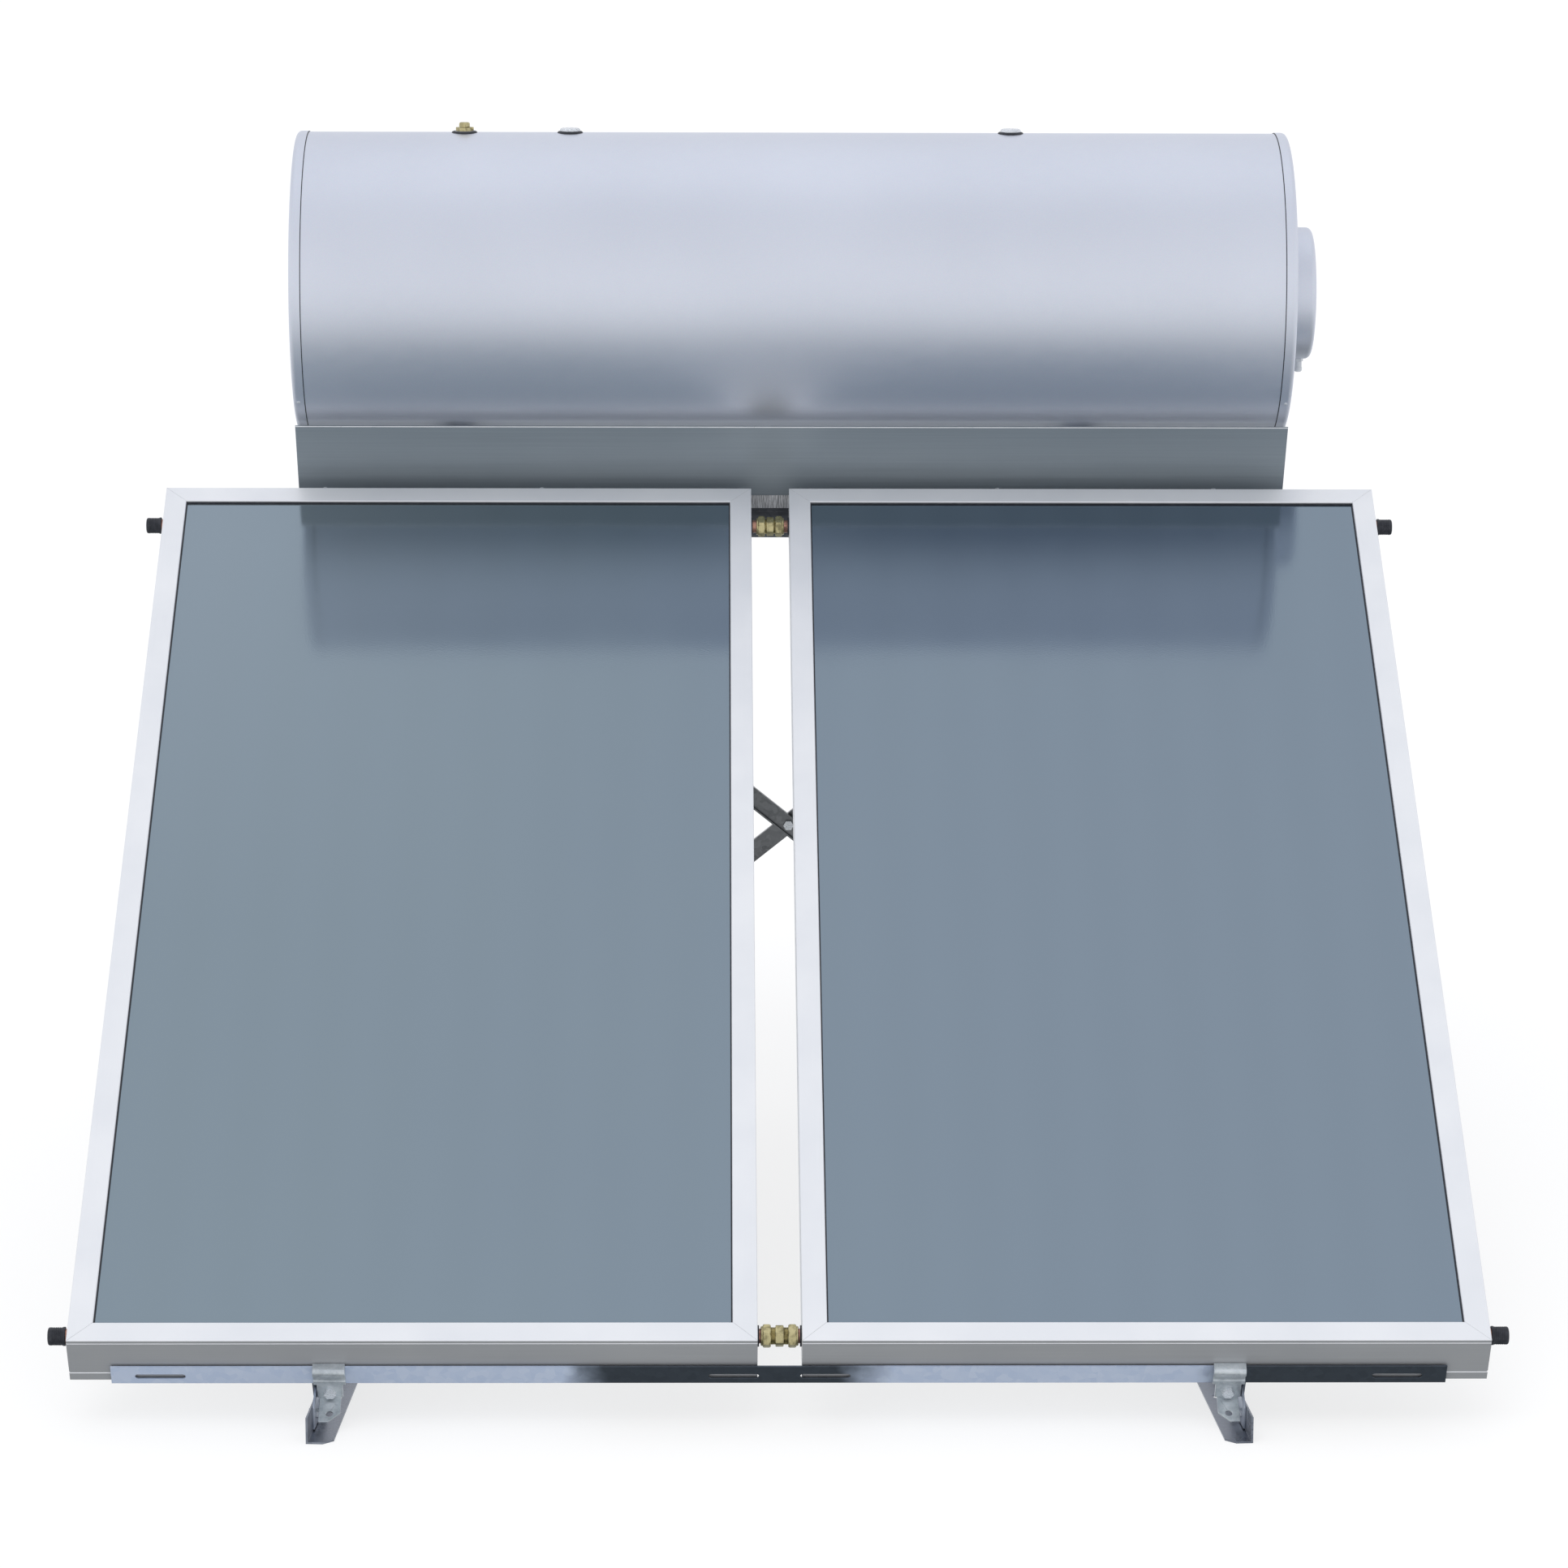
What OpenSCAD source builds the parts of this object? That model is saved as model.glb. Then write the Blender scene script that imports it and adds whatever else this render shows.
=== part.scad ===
// Thermosyphon solar water heater: two flat-plate collectors and a storage tank on a flat-roof stand.
// Millimetres. +X runs along the tank, +Y from the low edge of the collectors to the tank, +Z up.
// The origin lies on the ground, midway between the two front anchor holes.

/* [Collectors] */
// Width of one collector
collector_w = 1020; // [980:10:1060]
// Length of one collector up the slope
collector_l = 2000; // [1960:10:2040]
// Gap between the two collectors
collector_gap = 66; // [64:1:80]
// Slope of the collectors in degrees
tilt = 30; // [28:1:32]
// Width of the frame's front lip
lip_w = 37; // [30:1:45]
// Number of riser tubes in one collector
riser_count = 9; // [6:1:11]
// Outer diameter of the header pipes
header_d = 22; // [18:1:22]

/* [Tank] */
// Radius of the tank's painted casing
casing_r = 262; // [260:1:268]
// Length of the tank over its end caps
tank_l = 1725; // [1710:5:1740]
// Offset of the tank along X from the middle of the collectors
tank_x = 38; // [0:1:44]
// Distance of the tank's axis up the slope from the collectors' low edge
tank_s = 2268; // [2266:1:2280]
// Height of the tank's axis above the plane of the collectors' front faces
tank_n = 246; // [246:1:256]
// Outer diameter of the heater cover
cover_d = 230; // [222:1:232]

/* [Stand] */
// Half the distance between the two front anchor holes
front_hole_x = 667; // [660:1:680]
// Angle by which each side frame toes in towards the rear, in degrees
toe_in = 3.7; // [3.5:0.1:3.9]
// Leg width of the side frames' angle sections
angle_w = 40; // [40:1:42]
// Wall thickness of the side frames' angle sections
angle_t = 3; // [2.5:0.5:3]
// Diameter of the floor anchor holes
anchor_d = 18; // [12:1:18]
// Height of the crossing of the rear braces above the ground
cross_z = 521; // [510:1:530]
// Offset of the crossing along X from the middle of the collectors
cross_x = 36; // [0:1:44]

/* [Hidden] */
$fn = 48;
eps = 0.1;

// Collector frame levels, measured along the normal of the front face
collector_t = 85;
wall_t = 2.5;
sheet_t = 2;
glass_top = -5.4;
glass_t = 4;
ledge_top = glass_top - glass_t - eps;
header_n = -45;
header_inset = 50;
header_wall = 0.8;
riser_d = 10;
stub_l = 30;
grommet_hole_r = header_d / 2 + 2;
grommet_flange_t = 2.5;
top_coupling_half = 15;
bottom_coupling_half = 19;

// Place of the collectors' low front edge in the object's frame
slope_y = -182;
slope_z = 150;

// Rails under the collectors
rail_t = 2.5;
rail_top = -collector_t;
rail_l = 1982;
slot_l = 75;
slot_w = 10;
slot_x = [-918, -68, 68, 918];
upper_s = collector_l + 40.3;
upper_flange_s = collector_l - 24;
flashing_l = 1728;
flashing_t = 2;
flashing_s = upper_s - flashing_t - 0.4;
flashing_low = -46;
flashing_high = 107;

// Side frames: each lies in one upright plane that starts at its front anchor hole
rail_gap = 1.2;
beam_tilt = atan(tan(tilt) * cos(toe_in));
beam_z = slope_z - slope_y * tan(tilt) - (collector_t + rail_t + rail_gap) / cos(tilt);
beam_front = -159.5;
beam_back = 2325;
web_out = 19;
web_in = web_out - angle_t;
skin = 0.3;
base_front = -212;
leg_u = 1661.4;
base_back = leg_u + 60;
rear_hole_u = 1560;
leg_top = beam_z + (leg_u - angle_w / 2) * tan(beam_tilt) - (angle_t + 2) / cos(beam_tilt);
corner_cut = 15;

// Rear braces
brace_w = 32;
brace_lip = 10;
brace_hole_x = 554;
brace_low_z = 45;
brace_reach = brace_hole_x + cross_x;
brace_angle = atan((cross_z - brace_low_z) / brace_reach);
brace_half = brace_reach / cos(brace_angle) + 24;
brace_front_y = 1670.1;
brace_back_y = 1679.2;
brace_clip_x = brace_hole_x + 13;

// Front clamps and tie-down brackets on the low rail
clamp_x = 668;
clamp_w = 48;
bracket_w = 38;
tab_w = 32;
tab_end = -56;
tab_hole_s = -40;
tab_hole_d = 11;
tab_cut = 18;
bracket_low = -119;
bracket_front = -5.2;
clamp_front = -8.4;
foot_bolt_n = -104;

// Tank
tank_y = slope_y + tank_s * cos(tilt) - tank_n * sin(tilt);
tank_z = slope_z + tank_s * sin(tilt) + tank_n * cos(tilt);
half_l = tank_l / 2;
casing_t = 1.2;
rim_w = 19.5;
rim_r = casing_r + 1.6;
rim_round = 8;
dish_r = 232;
dish_depth = 4;
vessel_r = 218;
vessel_half = 790;
vessel_t = 2.5;
knuckle_r = 60;
jacket_r = 228.5;
jacket_half = 480;
jacket_t = 2;
foam_r = casing_r - casing_t - 0.3;
foam_half = half_l - dish_depth - 1.6;
socket_r = 16;
socket_bore_r = 12.05;
socket_hole_r = 20;
relief_x = -571;
plug_x = [-387, 381];
circuit_x = [-430, 430];
water_x = [-690, 690];
circuit_lean = 15;
socket_top = casing_r + 3;
socket_low = casing_r + 11.5;

// Heater flange on the right end of the tank
heater_drop = 16;
cap_hole_r = 92;
neck_r = 62;
neck_bore_r = 58;
flange_r = 88;
flange_bolt_r = 75;
flange_bolts_n = 6;
seat_z = half_l - 2.5;
plate_z = seat_z + 3;
plate_t = 8;
cover_back = half_l - dish_depth + 0.3;
cover_depth = 52;
cover_wall = 2.5;
cover_round = 10;
cover_front = cover_back + cover_depth;
face_t = 1.5;
gland_z = half_l + 30;
gland_bore_r = 4;

// Saddles under the tank
saddle_x = 550;
saddle_w = 50;
saddle_t = 4;
saddle_gap = 1.4;
saddle_r = rim_r - 1.6 + saddle_gap + saddle_t;
saddle_s = [tank_s - 203, tank_s + 202];
saddle_base = -collector_t - 2;
saddle_arm_n = 58;

steel = [0.62, 0.65, 0.68];
aluminium = [0.86, 0.87, 0.88];
brass = [0.78, 0.66, 0.34];
copper = [0.72, 0.42, 0.28];
rubber = [0.1, 0.11, 0.13];

// ---- Frames of reference ----

// x across, y up the slope, z out of the collectors' front face
module on_slope() {
    translate([0, slope_y, slope_z]) rotate([tilt, 0, 0]) children();
}

// As on_slope, with x measured from the collector's inner wall outwards
module on_collector(side) {
    on_slope() mirror([side < 0 ? 1 : 0, 0, 0]) translate([collector_gap / 2, 0, 0]) children();
}

// Side frame: x outwards, y to the rear, z up, from the front anchor hole
module on_side(side) {
    mirror([side < 0 ? 1 : 0, 0, 0]) translate([front_hole_x, 0, 0]) rotate([0, 0, toe_in]) children();
}

// Sloping beam: y along its top face
module on_beam(side) {
    on_side(side) translate([0, 0, beam_z]) rotate([beam_tilt, 0, 0]) children();
}

// Tank: z along its axis to the right, x down
module on_tank() {
    translate([tank_x, tank_y, tank_z]) rotate([0, 90, 0]) children();
}

// As on_tank, on the axis of the heater flange
module on_heater() {
    on_tank() translate([heater_drop, 0, 0]) children();
}

// Top of the tank, at a distance along it: z up from the tank's axis
module on_tank_top(along) {
    translate([tank_x + along, tank_y, tank_z]) children();
}

// Water connections under the tank: z straight down from the tank's axis
module water_places() {
    for (along = water_x) translate([tank_x + along, tank_y, tank_z]) rotate([180, 0, 0]) children();
}

// Circuit connections under the tank, leaning to the rear past the braces
module circuit_places() {
    for (along = circuit_x) {
        translate([tank_x + along, tank_y, tank_z]) rotate([180 + circuit_lean, 0, 0]) children();
    }
}

// Relief valve and plugs on top of the tank: z up from the tank's axis
module top_places() {
    for (along = concat([relief_x], plug_x)) on_tank_top(along) children();
}

// ---- Shared shapes ----

function arc(centre, radius, from, to, steps = 6) =
    [for (i = [0:steps]) let (a = from + (to - from) * i / steps)
        centre + radius * [cos(a), sin(a)]];

module tube(outer_r, inner_r, length) {
    difference() {
        cylinder(h = length, r = outer_r);
        translate([0, 0, -1]) cylinder(h = length + 2, r = inner_r);
    }
}

module hexagon(across_flats, height) {
    cylinder(h = height, r = across_flats / 2 / cos(30), $fn = 6);
}

// Hexagon bolt with its head below z = 0
module bolt(d, length) {
    translate([0, 0, -0.65 * d]) hexagon(1.6 * d, 0.65 * d);
    cylinder(h = length, d = d);
}

// Bolt through a stack of plates of thickness grip, with its nut
module bolt_and_nut(d, grip) {
    bolt(d, grip + 0.8 * d + 2);
    translate([0, 0, grip]) difference() {
        hexagon(1.6 * d, 0.8 * d);
        translate([0, 0, -1]) cylinder(h = d + 1, d = d + eps);
    }
}

// Slot with round ends, centred on z and along x
module slot_cutter(length, width, depth) {
    for (end = [-1, 1]) {
        translate([end * (length - width) / 2, 0, 0]) cylinder(h = depth, d = width);
    }
    translate([-(length - width) / 2, -width / 2, 0]) cube([length - width, width, depth]);
}

// ---- Collectors ----

// Section of the frame: x inwards from the outer face, y along the normal of the front face
module frame_profile() {
    groove = 1;
    polygon([
        [0, -collector_t], [0, -71], [groove, -70], [groove, -68], [0, -67],
        [0, -7.5], [groove, -6.8], [groove, -5.7], [0, -5],
        [0, -0.8], [0.8, 0], [lip_w - 1, 0], [lip_w, -1], [lip_w, -3.5],
        [lip_w - sheet_t, -3.5], [lip_w - sheet_t, -sheet_t],
        [wall_t, -sheet_t], [wall_t, ledge_top], [20, ledge_top], [20, ledge_top - sheet_t],
        [wall_t, ledge_top - sheet_t], [wall_t, sheet_t - collector_t],
        [22, sheet_t - collector_t], [22, -collector_t]
    ]);
}

// Bar along y with its outer face at x = 0 and both ends mitred
module frame_bar(length) {
    cut = 45;
    mitre_gap = 0.15;
    intersection() {
        translate([0, length, 0]) rotate([90, 0, 0]) linear_extrude(length) frame_profile();
        translate([0, 0, -collector_t - 1]) linear_extrude(collector_t + 2)
            polygon([[-1, mitre_gap - 1], [cut, cut + mitre_gap],
                [cut, length - cut - mitre_gap], [-1, length + 1 - mitre_gap]]);
    }
}

module header_holes() {
    for (s = [header_inset, collector_l - header_inset]) {
        translate([-5, s, header_n]) rotate([0, 90, 0]) cylinder(h = 10, r = grommet_hole_r);
    }
}

module collector_frame(side) {
    color(aluminium) on_collector(side) {
        difference() {
            frame_bar(collector_l);
            header_holes();
        }
        translate([collector_w, 0, 0]) mirror([1, 0, 0]) difference() {
            frame_bar(collector_l);
            header_holes();
        }
        translate([collector_w, 0, 0]) rotate([0, 0, 90]) frame_bar(collector_w);
        translate([0, collector_l, 0]) rotate([0, 0, -90]) frame_bar(collector_w);
    }
}

// Flat sheet inside a collector, set in from the outer faces
module inner_sheet(side, inset_x, inset_s, low, thickness) {
    on_collector(side) translate([inset_x, inset_s, low])
        cube([collector_w - 2 * inset_x, collector_l - 2 * inset_s, thickness]);
}

module glass(side) {
    color([0.5, 0.56, 0.62, 0.6]) inner_sheet(side, 3.5, 3.5, glass_top - glass_t, glass_t);
}

module glass_gasket(side) {
    hidden_edge = 30;
    shown_edge = lip_w + 2.2;
    color(rubber) difference() {
        inner_sheet(side, hidden_edge, hidden_edge, glass_top, 1.8);
        inner_sheet(side, shown_edge, shown_edge, glass_top - 1, 4);
    }
}

module absorber_plate(side) {
    color([0.08, 0.1, 0.2])
        inner_sheet(side, 12, header_inset + header_d / 2 + 4, header_n + riser_d / 2 + eps, 0.8);
}

// Headers and risers, fat for the outside and thin for the bore
module tube_grid(header_r, riser_r, extra) {
    first = 60;
    pitch = (collector_w - 2 * first) / (riser_count - 1);
    inner_end = collector_gap / 2 - 1.5;
    for (s = [header_inset, collector_l - header_inset]) {
        translate([-inner_end - extra, s, header_n]) rotate([0, 90, 0])
            cylinder(h = inner_end + collector_w + stub_l + 2 * extra, r = header_r);
    }
    for (i = [0:riser_count - 1]) {
        translate([first + i * pitch, header_inset, header_n]) rotate([-90, 0, 0])
            cylinder(h = collector_l - 2 * header_inset, r = riser_r, $fn = 24);
    }
}

module absorber_tubes(side) {
    color(copper) on_collector(side) difference() {
        tube_grid(header_d / 2, riser_d / 2, 0);
        tube_grid(header_d / 2 - header_wall, riser_d / 2 - header_wall, 1);
    }
}

module collector_insulation(side) {
    color([0.8, 0.74, 0.5]) inner_sheet(side, 5, 5, -82.2, 25);
}

module back_sheet(side) {
    color(steel) inner_sheet(side, 3.5, 3.5, -82.95, 0.6);
}

// Rubber bush in a frame wall, outer side towards +z, wall from -wall_t to 0
module pipe_grommet() {
    difference() {
        union() {
            translate([0, 0, -wall_t - 2]) cylinder(h = 2, r = grommet_hole_r + 3);
            translate([0, 0, -wall_t]) cylinder(h = wall_t, r = grommet_hole_r - 0.05);
            cylinder(h = grommet_flange_t, r = grommet_hole_r + 3);
        }
        translate([0, 0, -10]) cylinder(h = 20, r = header_d / 2 + 0.05);
    }
}

module pipe_grommets() {
    color(rubber) for (side = [-1, 1], s = [header_inset, collector_l - header_inset]) {
        on_collector(side) {
            translate([collector_w, s, header_n]) rotate([0, 90, 0]) pipe_grommet();
            translate([0, s, header_n]) rotate([0, -90, 0]) pipe_grommet();
        }
    }
}

// Rubber cap pushed over the outer end of a header
module blanking_cap(side, s) {
    start = grommet_flange_t + 5;
    end = stub_l + 4;
    outer_r = header_d / 2 + 2.5;
    color(rubber) on_collector(side) translate([collector_w, s, header_n]) rotate([0, 90, 0])
        difference() {
            rotate_extrude() polygon(concat(
                [[0, start], [outer_r + 0.8, start], [outer_r + 0.8, start + 4], [outer_r, start + 5]],
                arc([outer_r - 3, end - 3], 3, 0, 90),
                [[0, end]]
            ));
            translate([0, 0, start - 1]) cylinder(h = stub_l + 0.3 - start + 1, r = header_d / 2 + 0.06);
        }
}

// Compression coupling that joins two headers in the gap
module coupling_body(s, half) {
    thread_r = header_d / 2 + 2.2;
    color(brass) on_slope() translate([0, s, header_n]) rotate([0, 90, 0]) difference() {
        union() {
            translate([0, 0, -half]) cylinder(h = 2 * half, r = thread_r);
            translate([0, 0, -6]) hexagon(29, 12);
        }
        translate([0, 0, -half - 5]) cylinder(h = 2 * half + 10, r = header_d / 2 + 0.05);
    }
}

module coupling_nuts() {
    thread_r = header_d / 2 + 2.25;
    places = [[header_inset, bottom_coupling_half], [collector_l - header_inset, top_coupling_half]];
    color(brass) for (place = places, side = [-1, 1]) {
        on_slope() translate([0, place[0], header_n]) rotate([0, 90 * side, 0])
            translate([0, 0, place[1]]) difference() {
                translate([0, 0, -6]) hexagon(32, 15);
                translate([0, 0, -7]) cylinder(h = 7.2, r = thread_r);
                translate([0, 0, -1]) cylinder(h = 12, r = header_d / 2 + 0.05);
            }
    }
}

// ---- Rails and flashing ----

module lower_rail() {
    upstand = 35.5;
    color(steel) on_slope() difference() {
        translate([-rail_l / 2, -2 * rail_t, rail_top - rail_t]) union() {
            cube([rail_l, 70, rail_t]);
            cube([rail_l, rail_t, upstand]);
        }
        for (x = slot_x) {
            translate([x, 0, rail_top + 12]) rotate([90, 0, 0])
                translate([0, 0, -1]) slot_cutter(slot_l, slot_w, 10);
        }
        translate([-collector_gap / 2, -rail_t, rail_top - 2 * rail_t])
            cube([collector_gap, 80, 3 * rail_t]);
    }
}

module upper_rail() {
    upstand = 35.5;
    tall_upstand = 67.5;
    tall_half = 830;
    lip_half = 520;
    color(steel) difference() {
        on_slope() union() {
            translate([-rail_l / 2, upper_flange_s, rail_top - rail_t])
                cube([rail_l, upper_s + rail_t - upper_flange_s, rail_t]);
            translate([-rail_l / 2, upper_s, rail_top - rail_t]) cube([rail_l, rail_t, upstand]);
            translate([tank_x - tall_half, upper_s, rail_top - rail_t])
                cube([2 * tall_half, rail_t, tall_upstand]);
            translate([-lip_half, upper_flange_s, rail_top - 6]) cube([2 * lip_half, rail_t, 6]);
        }
        flashing_bolt_places() cylinder(h = 20, d = 6, center = true);
        upper_rail_bolt_places() cylinder(h = 30, d = 9, center = true);
    }
}

module flashing() {
    color(steel) difference() {
        on_slope() translate([tank_x - flashing_l / 2, flashing_s, flashing_low])
            cube([flashing_l, flashing_t, flashing_high - flashing_low]);
        flashing_bolt_places() cylinder(h = 20, d = 6, center = true);
    }
}

// Low-head bolts that hold the flashing to the upper rail, z up the slope
module flashing_bolt_places() {
    for (x = [-780, -400, 400, 780]) {
        on_slope() translate([x, flashing_s, -34]) rotate([-90, 0, 0]) children();
    }
}

// Bolts through the upper rail's flange and the sloping beams, z downwards
module upper_rail_bolt_places() {
    for (side = [-1, 1]) {
        on_beam(side) translate([-6, 1864, rail_gap + rail_t + 1]) rotate([180, 0, 0]) children();
    }
}

// Clip over the low rail's upstand, with a tongue under the foot bolt
module rail_clamp(x) {
    on_slope() difference() {
        union() {
            translate([x - clamp_w / 2, 0, 0]) rotate([90, 0, 90]) linear_extrude(clamp_w)
                polygon(concat(
                    [[-5.2, -88], [-8.2, -88]],
                    arc([-8.4, -79], 2.4, 270, 90),
                    [[-8, -74], [-8, -68]],
                    arc([-8.4, -58], 8.4, 250, 110),
                    [[-0.6, -49], [-0.6, -51.7], [-5.2, -51.7]]
                ));
            translate([x - bracket_w / 2, clamp_front, -116]) cube([bracket_w, 3, 29]);
        }
        foot_bolt_hole(x);
    }
}

module foot_bolt_hole(x) {
    translate([x, 0, foot_bolt_n]) rotate([90, 0, 0]) cylinder(h = 60, d = 11, center = true);
}

module rail_clamps() {
    color(steel) for (x = [-clamp_x, clamp_x]) rail_clamp(x);
}

// Bent plate under each clamp, with a holed tab that points down the slope
module tie_down_bracket(side) {
    on_slope() mirror([side < 0 ? 1 : 0, 0, 0]) translate([clamp_x, 0, 0]) difference() {
        union() {
            translate([-bracket_w / 2, bracket_front, bracket_low]) cube([bracket_w, 3, 30.5]);
            translate([0, 0, bracket_low]) linear_extrude(3) polygon([
                [tab_w / 2, bracket_front + 3], [tab_w / 2, tab_end],
                [tab_cut - tab_w / 2, tab_end], [-tab_w / 2, tab_end + tab_cut],
                [-tab_w / 2, bracket_front + 3]
            ]);
        }
        foot_bolt_hole(0);
        translate([0, tab_hole_s, bracket_low - 1]) cylinder(h = 5, d = tab_hole_d);
    }
}

module tie_down_brackets() {
    color(steel) for (side = [-1, 1]) tie_down_bracket(side);
}

// ---- Side frames ----

module base_beam(side) {
    inner = web_out - angle_w;
    color(steel) difference() {
        on_side(side) union() {
            linear_extrude(angle_t) polygon([
                [inner + corner_cut, base_front], [web_out, base_front], [web_out, base_back],
                [inner + corner_cut, base_back], [inner, base_back - corner_cut],
                [inner, base_front + corner_cut]
            ]);
            translate([web_in, base_front, 0]) cube([angle_t, base_back - base_front, angle_w]);
        }
        on_side(side) for (u = [0, rear_hole_u]) {
            translate([0, u, -1]) cylinder(h = angle_t + 2, d = anchor_d);
        }
        gusset_base_bolt_places(side) cylinder(h = 40, d = 9, center = true);
        leg_foot_bolt_places(side) cylinder(h = 40, d = 11, center = true);
    }
}

module sloping_beam(side) {
    length = beam_back - beam_front;
    plate_low = 35;
    color(steel) difference() {
        on_beam(side) union() {
            translate([web_out - angle_w, beam_front, -angle_t]) cube([angle_w, length, angle_t]);
            translate([web_in, beam_front, -angle_w]) cube([angle_t, length, angle_w]);
            translate([web_out - angle_w, beam_front, -plate_low])
                cube([angle_w - 7, 4, plate_low - 1]);
        }
        on_side(side) translate([-100, -400, 0]) cube([200, 500, angle_w + 0.6]);
        on_slope() foot_bolt_hole(side * clamp_x);
        gusset_beam_bolt_places(side) cylinder(h = 40, d = 9, center = true);
        leg_top_bolt_places(side) cylinder(h = 40, d = 11, center = true);
        upper_rail_bolt_places() cylinder(h = 30, d = 9, center = true);
        saddle_bolt_places(side) cylinder(h = 30, d = 11, center = true);
    }
}

// Upright angle: web inside the base beam's web, flange at the rear
module rear_leg(side) {
    web = web_in - skin;
    bottom = angle_t + skin;
    color(steel) difference() {
        on_side(side) translate([0, leg_u - angle_w / 2, bottom]) union() {
            translate([web - angle_t, 0, 0]) cube([angle_t, angle_w, leg_top - bottom]);
            translate([web - angle_w, angle_w - angle_t, 0]) cube([angle_w, angle_t, leg_top - bottom]);
        }
        leg_foot_bolt_places(side) cylinder(h = 40, d = 11, center = true);
        leg_top_bolt_places(side) cylinder(h = 40, d = 11, center = true);
        brace_bolt_places(0) cylinder(h = 60, d = 11.2, center = true);
    }
}

// Plate that joins the base beam and the sloping beam at the front
module front_gusset(side) {
    difference() {
        on_side(side) translate([web_in - skin - angle_t, 0, 0]) rotate([90, 0, 90]) linear_extrude(angle_t)
            polygon([[-160, 5], [-70, 5], [-38, 85], [-50, 115], [-115, 79], [-160, 38]]);
        gusset_base_bolt_places(side) cylinder(h = 40, d = 9, center = true);
        gusset_beam_bolt_places(side) cylinder(h = 40, d = 9, center = true);
    }
}

module front_gussets() {
    color(steel) for (side = [-1, 1]) front_gusset(side);
}

// Channel bar of the rear bracing, rising to the left when slant is 1
module brace(slant, y, lip_side) {
    lip_y = lip_side > 0 ? y : y + angle_t - brace_lip;
    color(steel) difference() {
        intersection() {
            translate([cross_x, 0, cross_z]) rotate([0, slant * brace_angle, 0]) union() {
                translate([-brace_half, y, -brace_w / 2]) cube([2 * brace_half, angle_t, brace_w]);
                for (edge = [-brace_w / 2, brace_w / 2 - angle_t]) {
                    translate([-brace_half, lip_y, edge]) cube([2 * brace_half, brace_lip, angle_t]);
                }
            }
            translate([-brace_clip_x, y - 20, 0]) cube([2 * brace_clip_x, 50, 2 * cross_z]);
        }
        brace_bolt_places(slant) cylinder(h = 60, d = 11.2, center = true);
        cross_bolt_place() cylinder(h = 60, d = 11.2, center = true);
    }
}

// Curved seat for the tank on an upright web and a base plate
module tank_saddle(side) {
    length = saddle_s[1] - saddle_s[0];
    color(steel) difference() {
        union() {
            on_slope() translate([side * saddle_x - saddle_w / 2, saddle_s[0], saddle_base])
                cube([saddle_w, length, saddle_t]);
            intersection() {
                on_slope() translate([side * saddle_x - saddle_w / 2, saddle_s[0], saddle_base])
                    cube([saddle_w, length, saddle_arm_n - saddle_base]);
                union() {
                    on_slope() translate([side * saddle_x - saddle_t / 2, saddle_s[0], saddle_base])
                        cube([saddle_t, length, saddle_arm_n - saddle_base]);
                    saddle_cylinder(side, saddle_r);
                }
            }
        }
        saddle_cylinder(side, saddle_r - saddle_t, 10);
        saddle_bolt_places(side) cylinder(h = 30, d = 11, center = true);
        tank_screw_places(side) cylinder(h = 30, d = 9, center = true, $fn = 24);
    }
}

// Solid of the tank's radius, as long as the saddle is wide
module saddle_cylinder(side, radius, extra = 0) {
    translate([side * saddle_x - saddle_w / 2 - extra, tank_y, tank_z]) rotate([0, 90, 0])
        cylinder(h = saddle_w + 2 * extra, r = radius, $fn = 96);
}

// ---- Fasteners of the stand, each group given by its places ----

module gusset_base_bolt_places(side) {
    for (u = [-135, -90]) {
        on_side(side) translate([web_out, u, 22]) rotate([0, -90, 0]) children();
    }
}

module gusset_beam_bolt_places(side) {
    for (b = [-118, -76]) {
        on_beam(side) translate([web_out, b, -21]) rotate([0, -90, 0]) children();
    }
}

module leg_foot_bolt_places(side) {
    on_side(side) translate([web_out, leg_u - 8, 22]) rotate([0, -90, 0]) children();
}

module leg_top_bolt_places(side) {
    on_side(side) translate([web_out, leg_u - 8, leg_top - 12]) rotate([0, -90, 0]) children();
}

// Base plate of a saddle to the sloping beam, z downwards
module saddle_bolt_places(side) {
    for (place = [[562, tank_s - 182], [538, tank_s + 172]]) {
        on_slope() translate([side * place[0], place[1], saddle_base + saddle_t])
            rotate([180, 0, 0]) children();
    }
}

// Radial screws from a saddle into the tank, z towards the tank's axis
module tank_screw_places(side) {
    for (end = [-1, 1]) {
        translate([side * saddle_x + end * 13, tank_y, tank_z]) rotate([tilt + end * 20, 0, 0])
            translate([0, 0, -saddle_r]) children();
    }
}

// Ends of the rear braces on the legs, z to the rear; slant 0 gives all four
module brace_bolt_places(slant) {
    for (end = [-1, 1], rise = [-1, 1]) {
        if (slant == 0 || end * rise == -slant) {
            climb = (brace_hole_x - end * cross_x) * tan(brace_angle);
            translate([end * brace_hole_x, brace_front_y, cross_z + rise * climb])
                rotate([-90, 0, 0]) children();
        }
    }
}

module cross_bolt_place() {
    translate([cross_x, brace_front_y, cross_z]) rotate([-90, 0, 0]) children();
}

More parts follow.
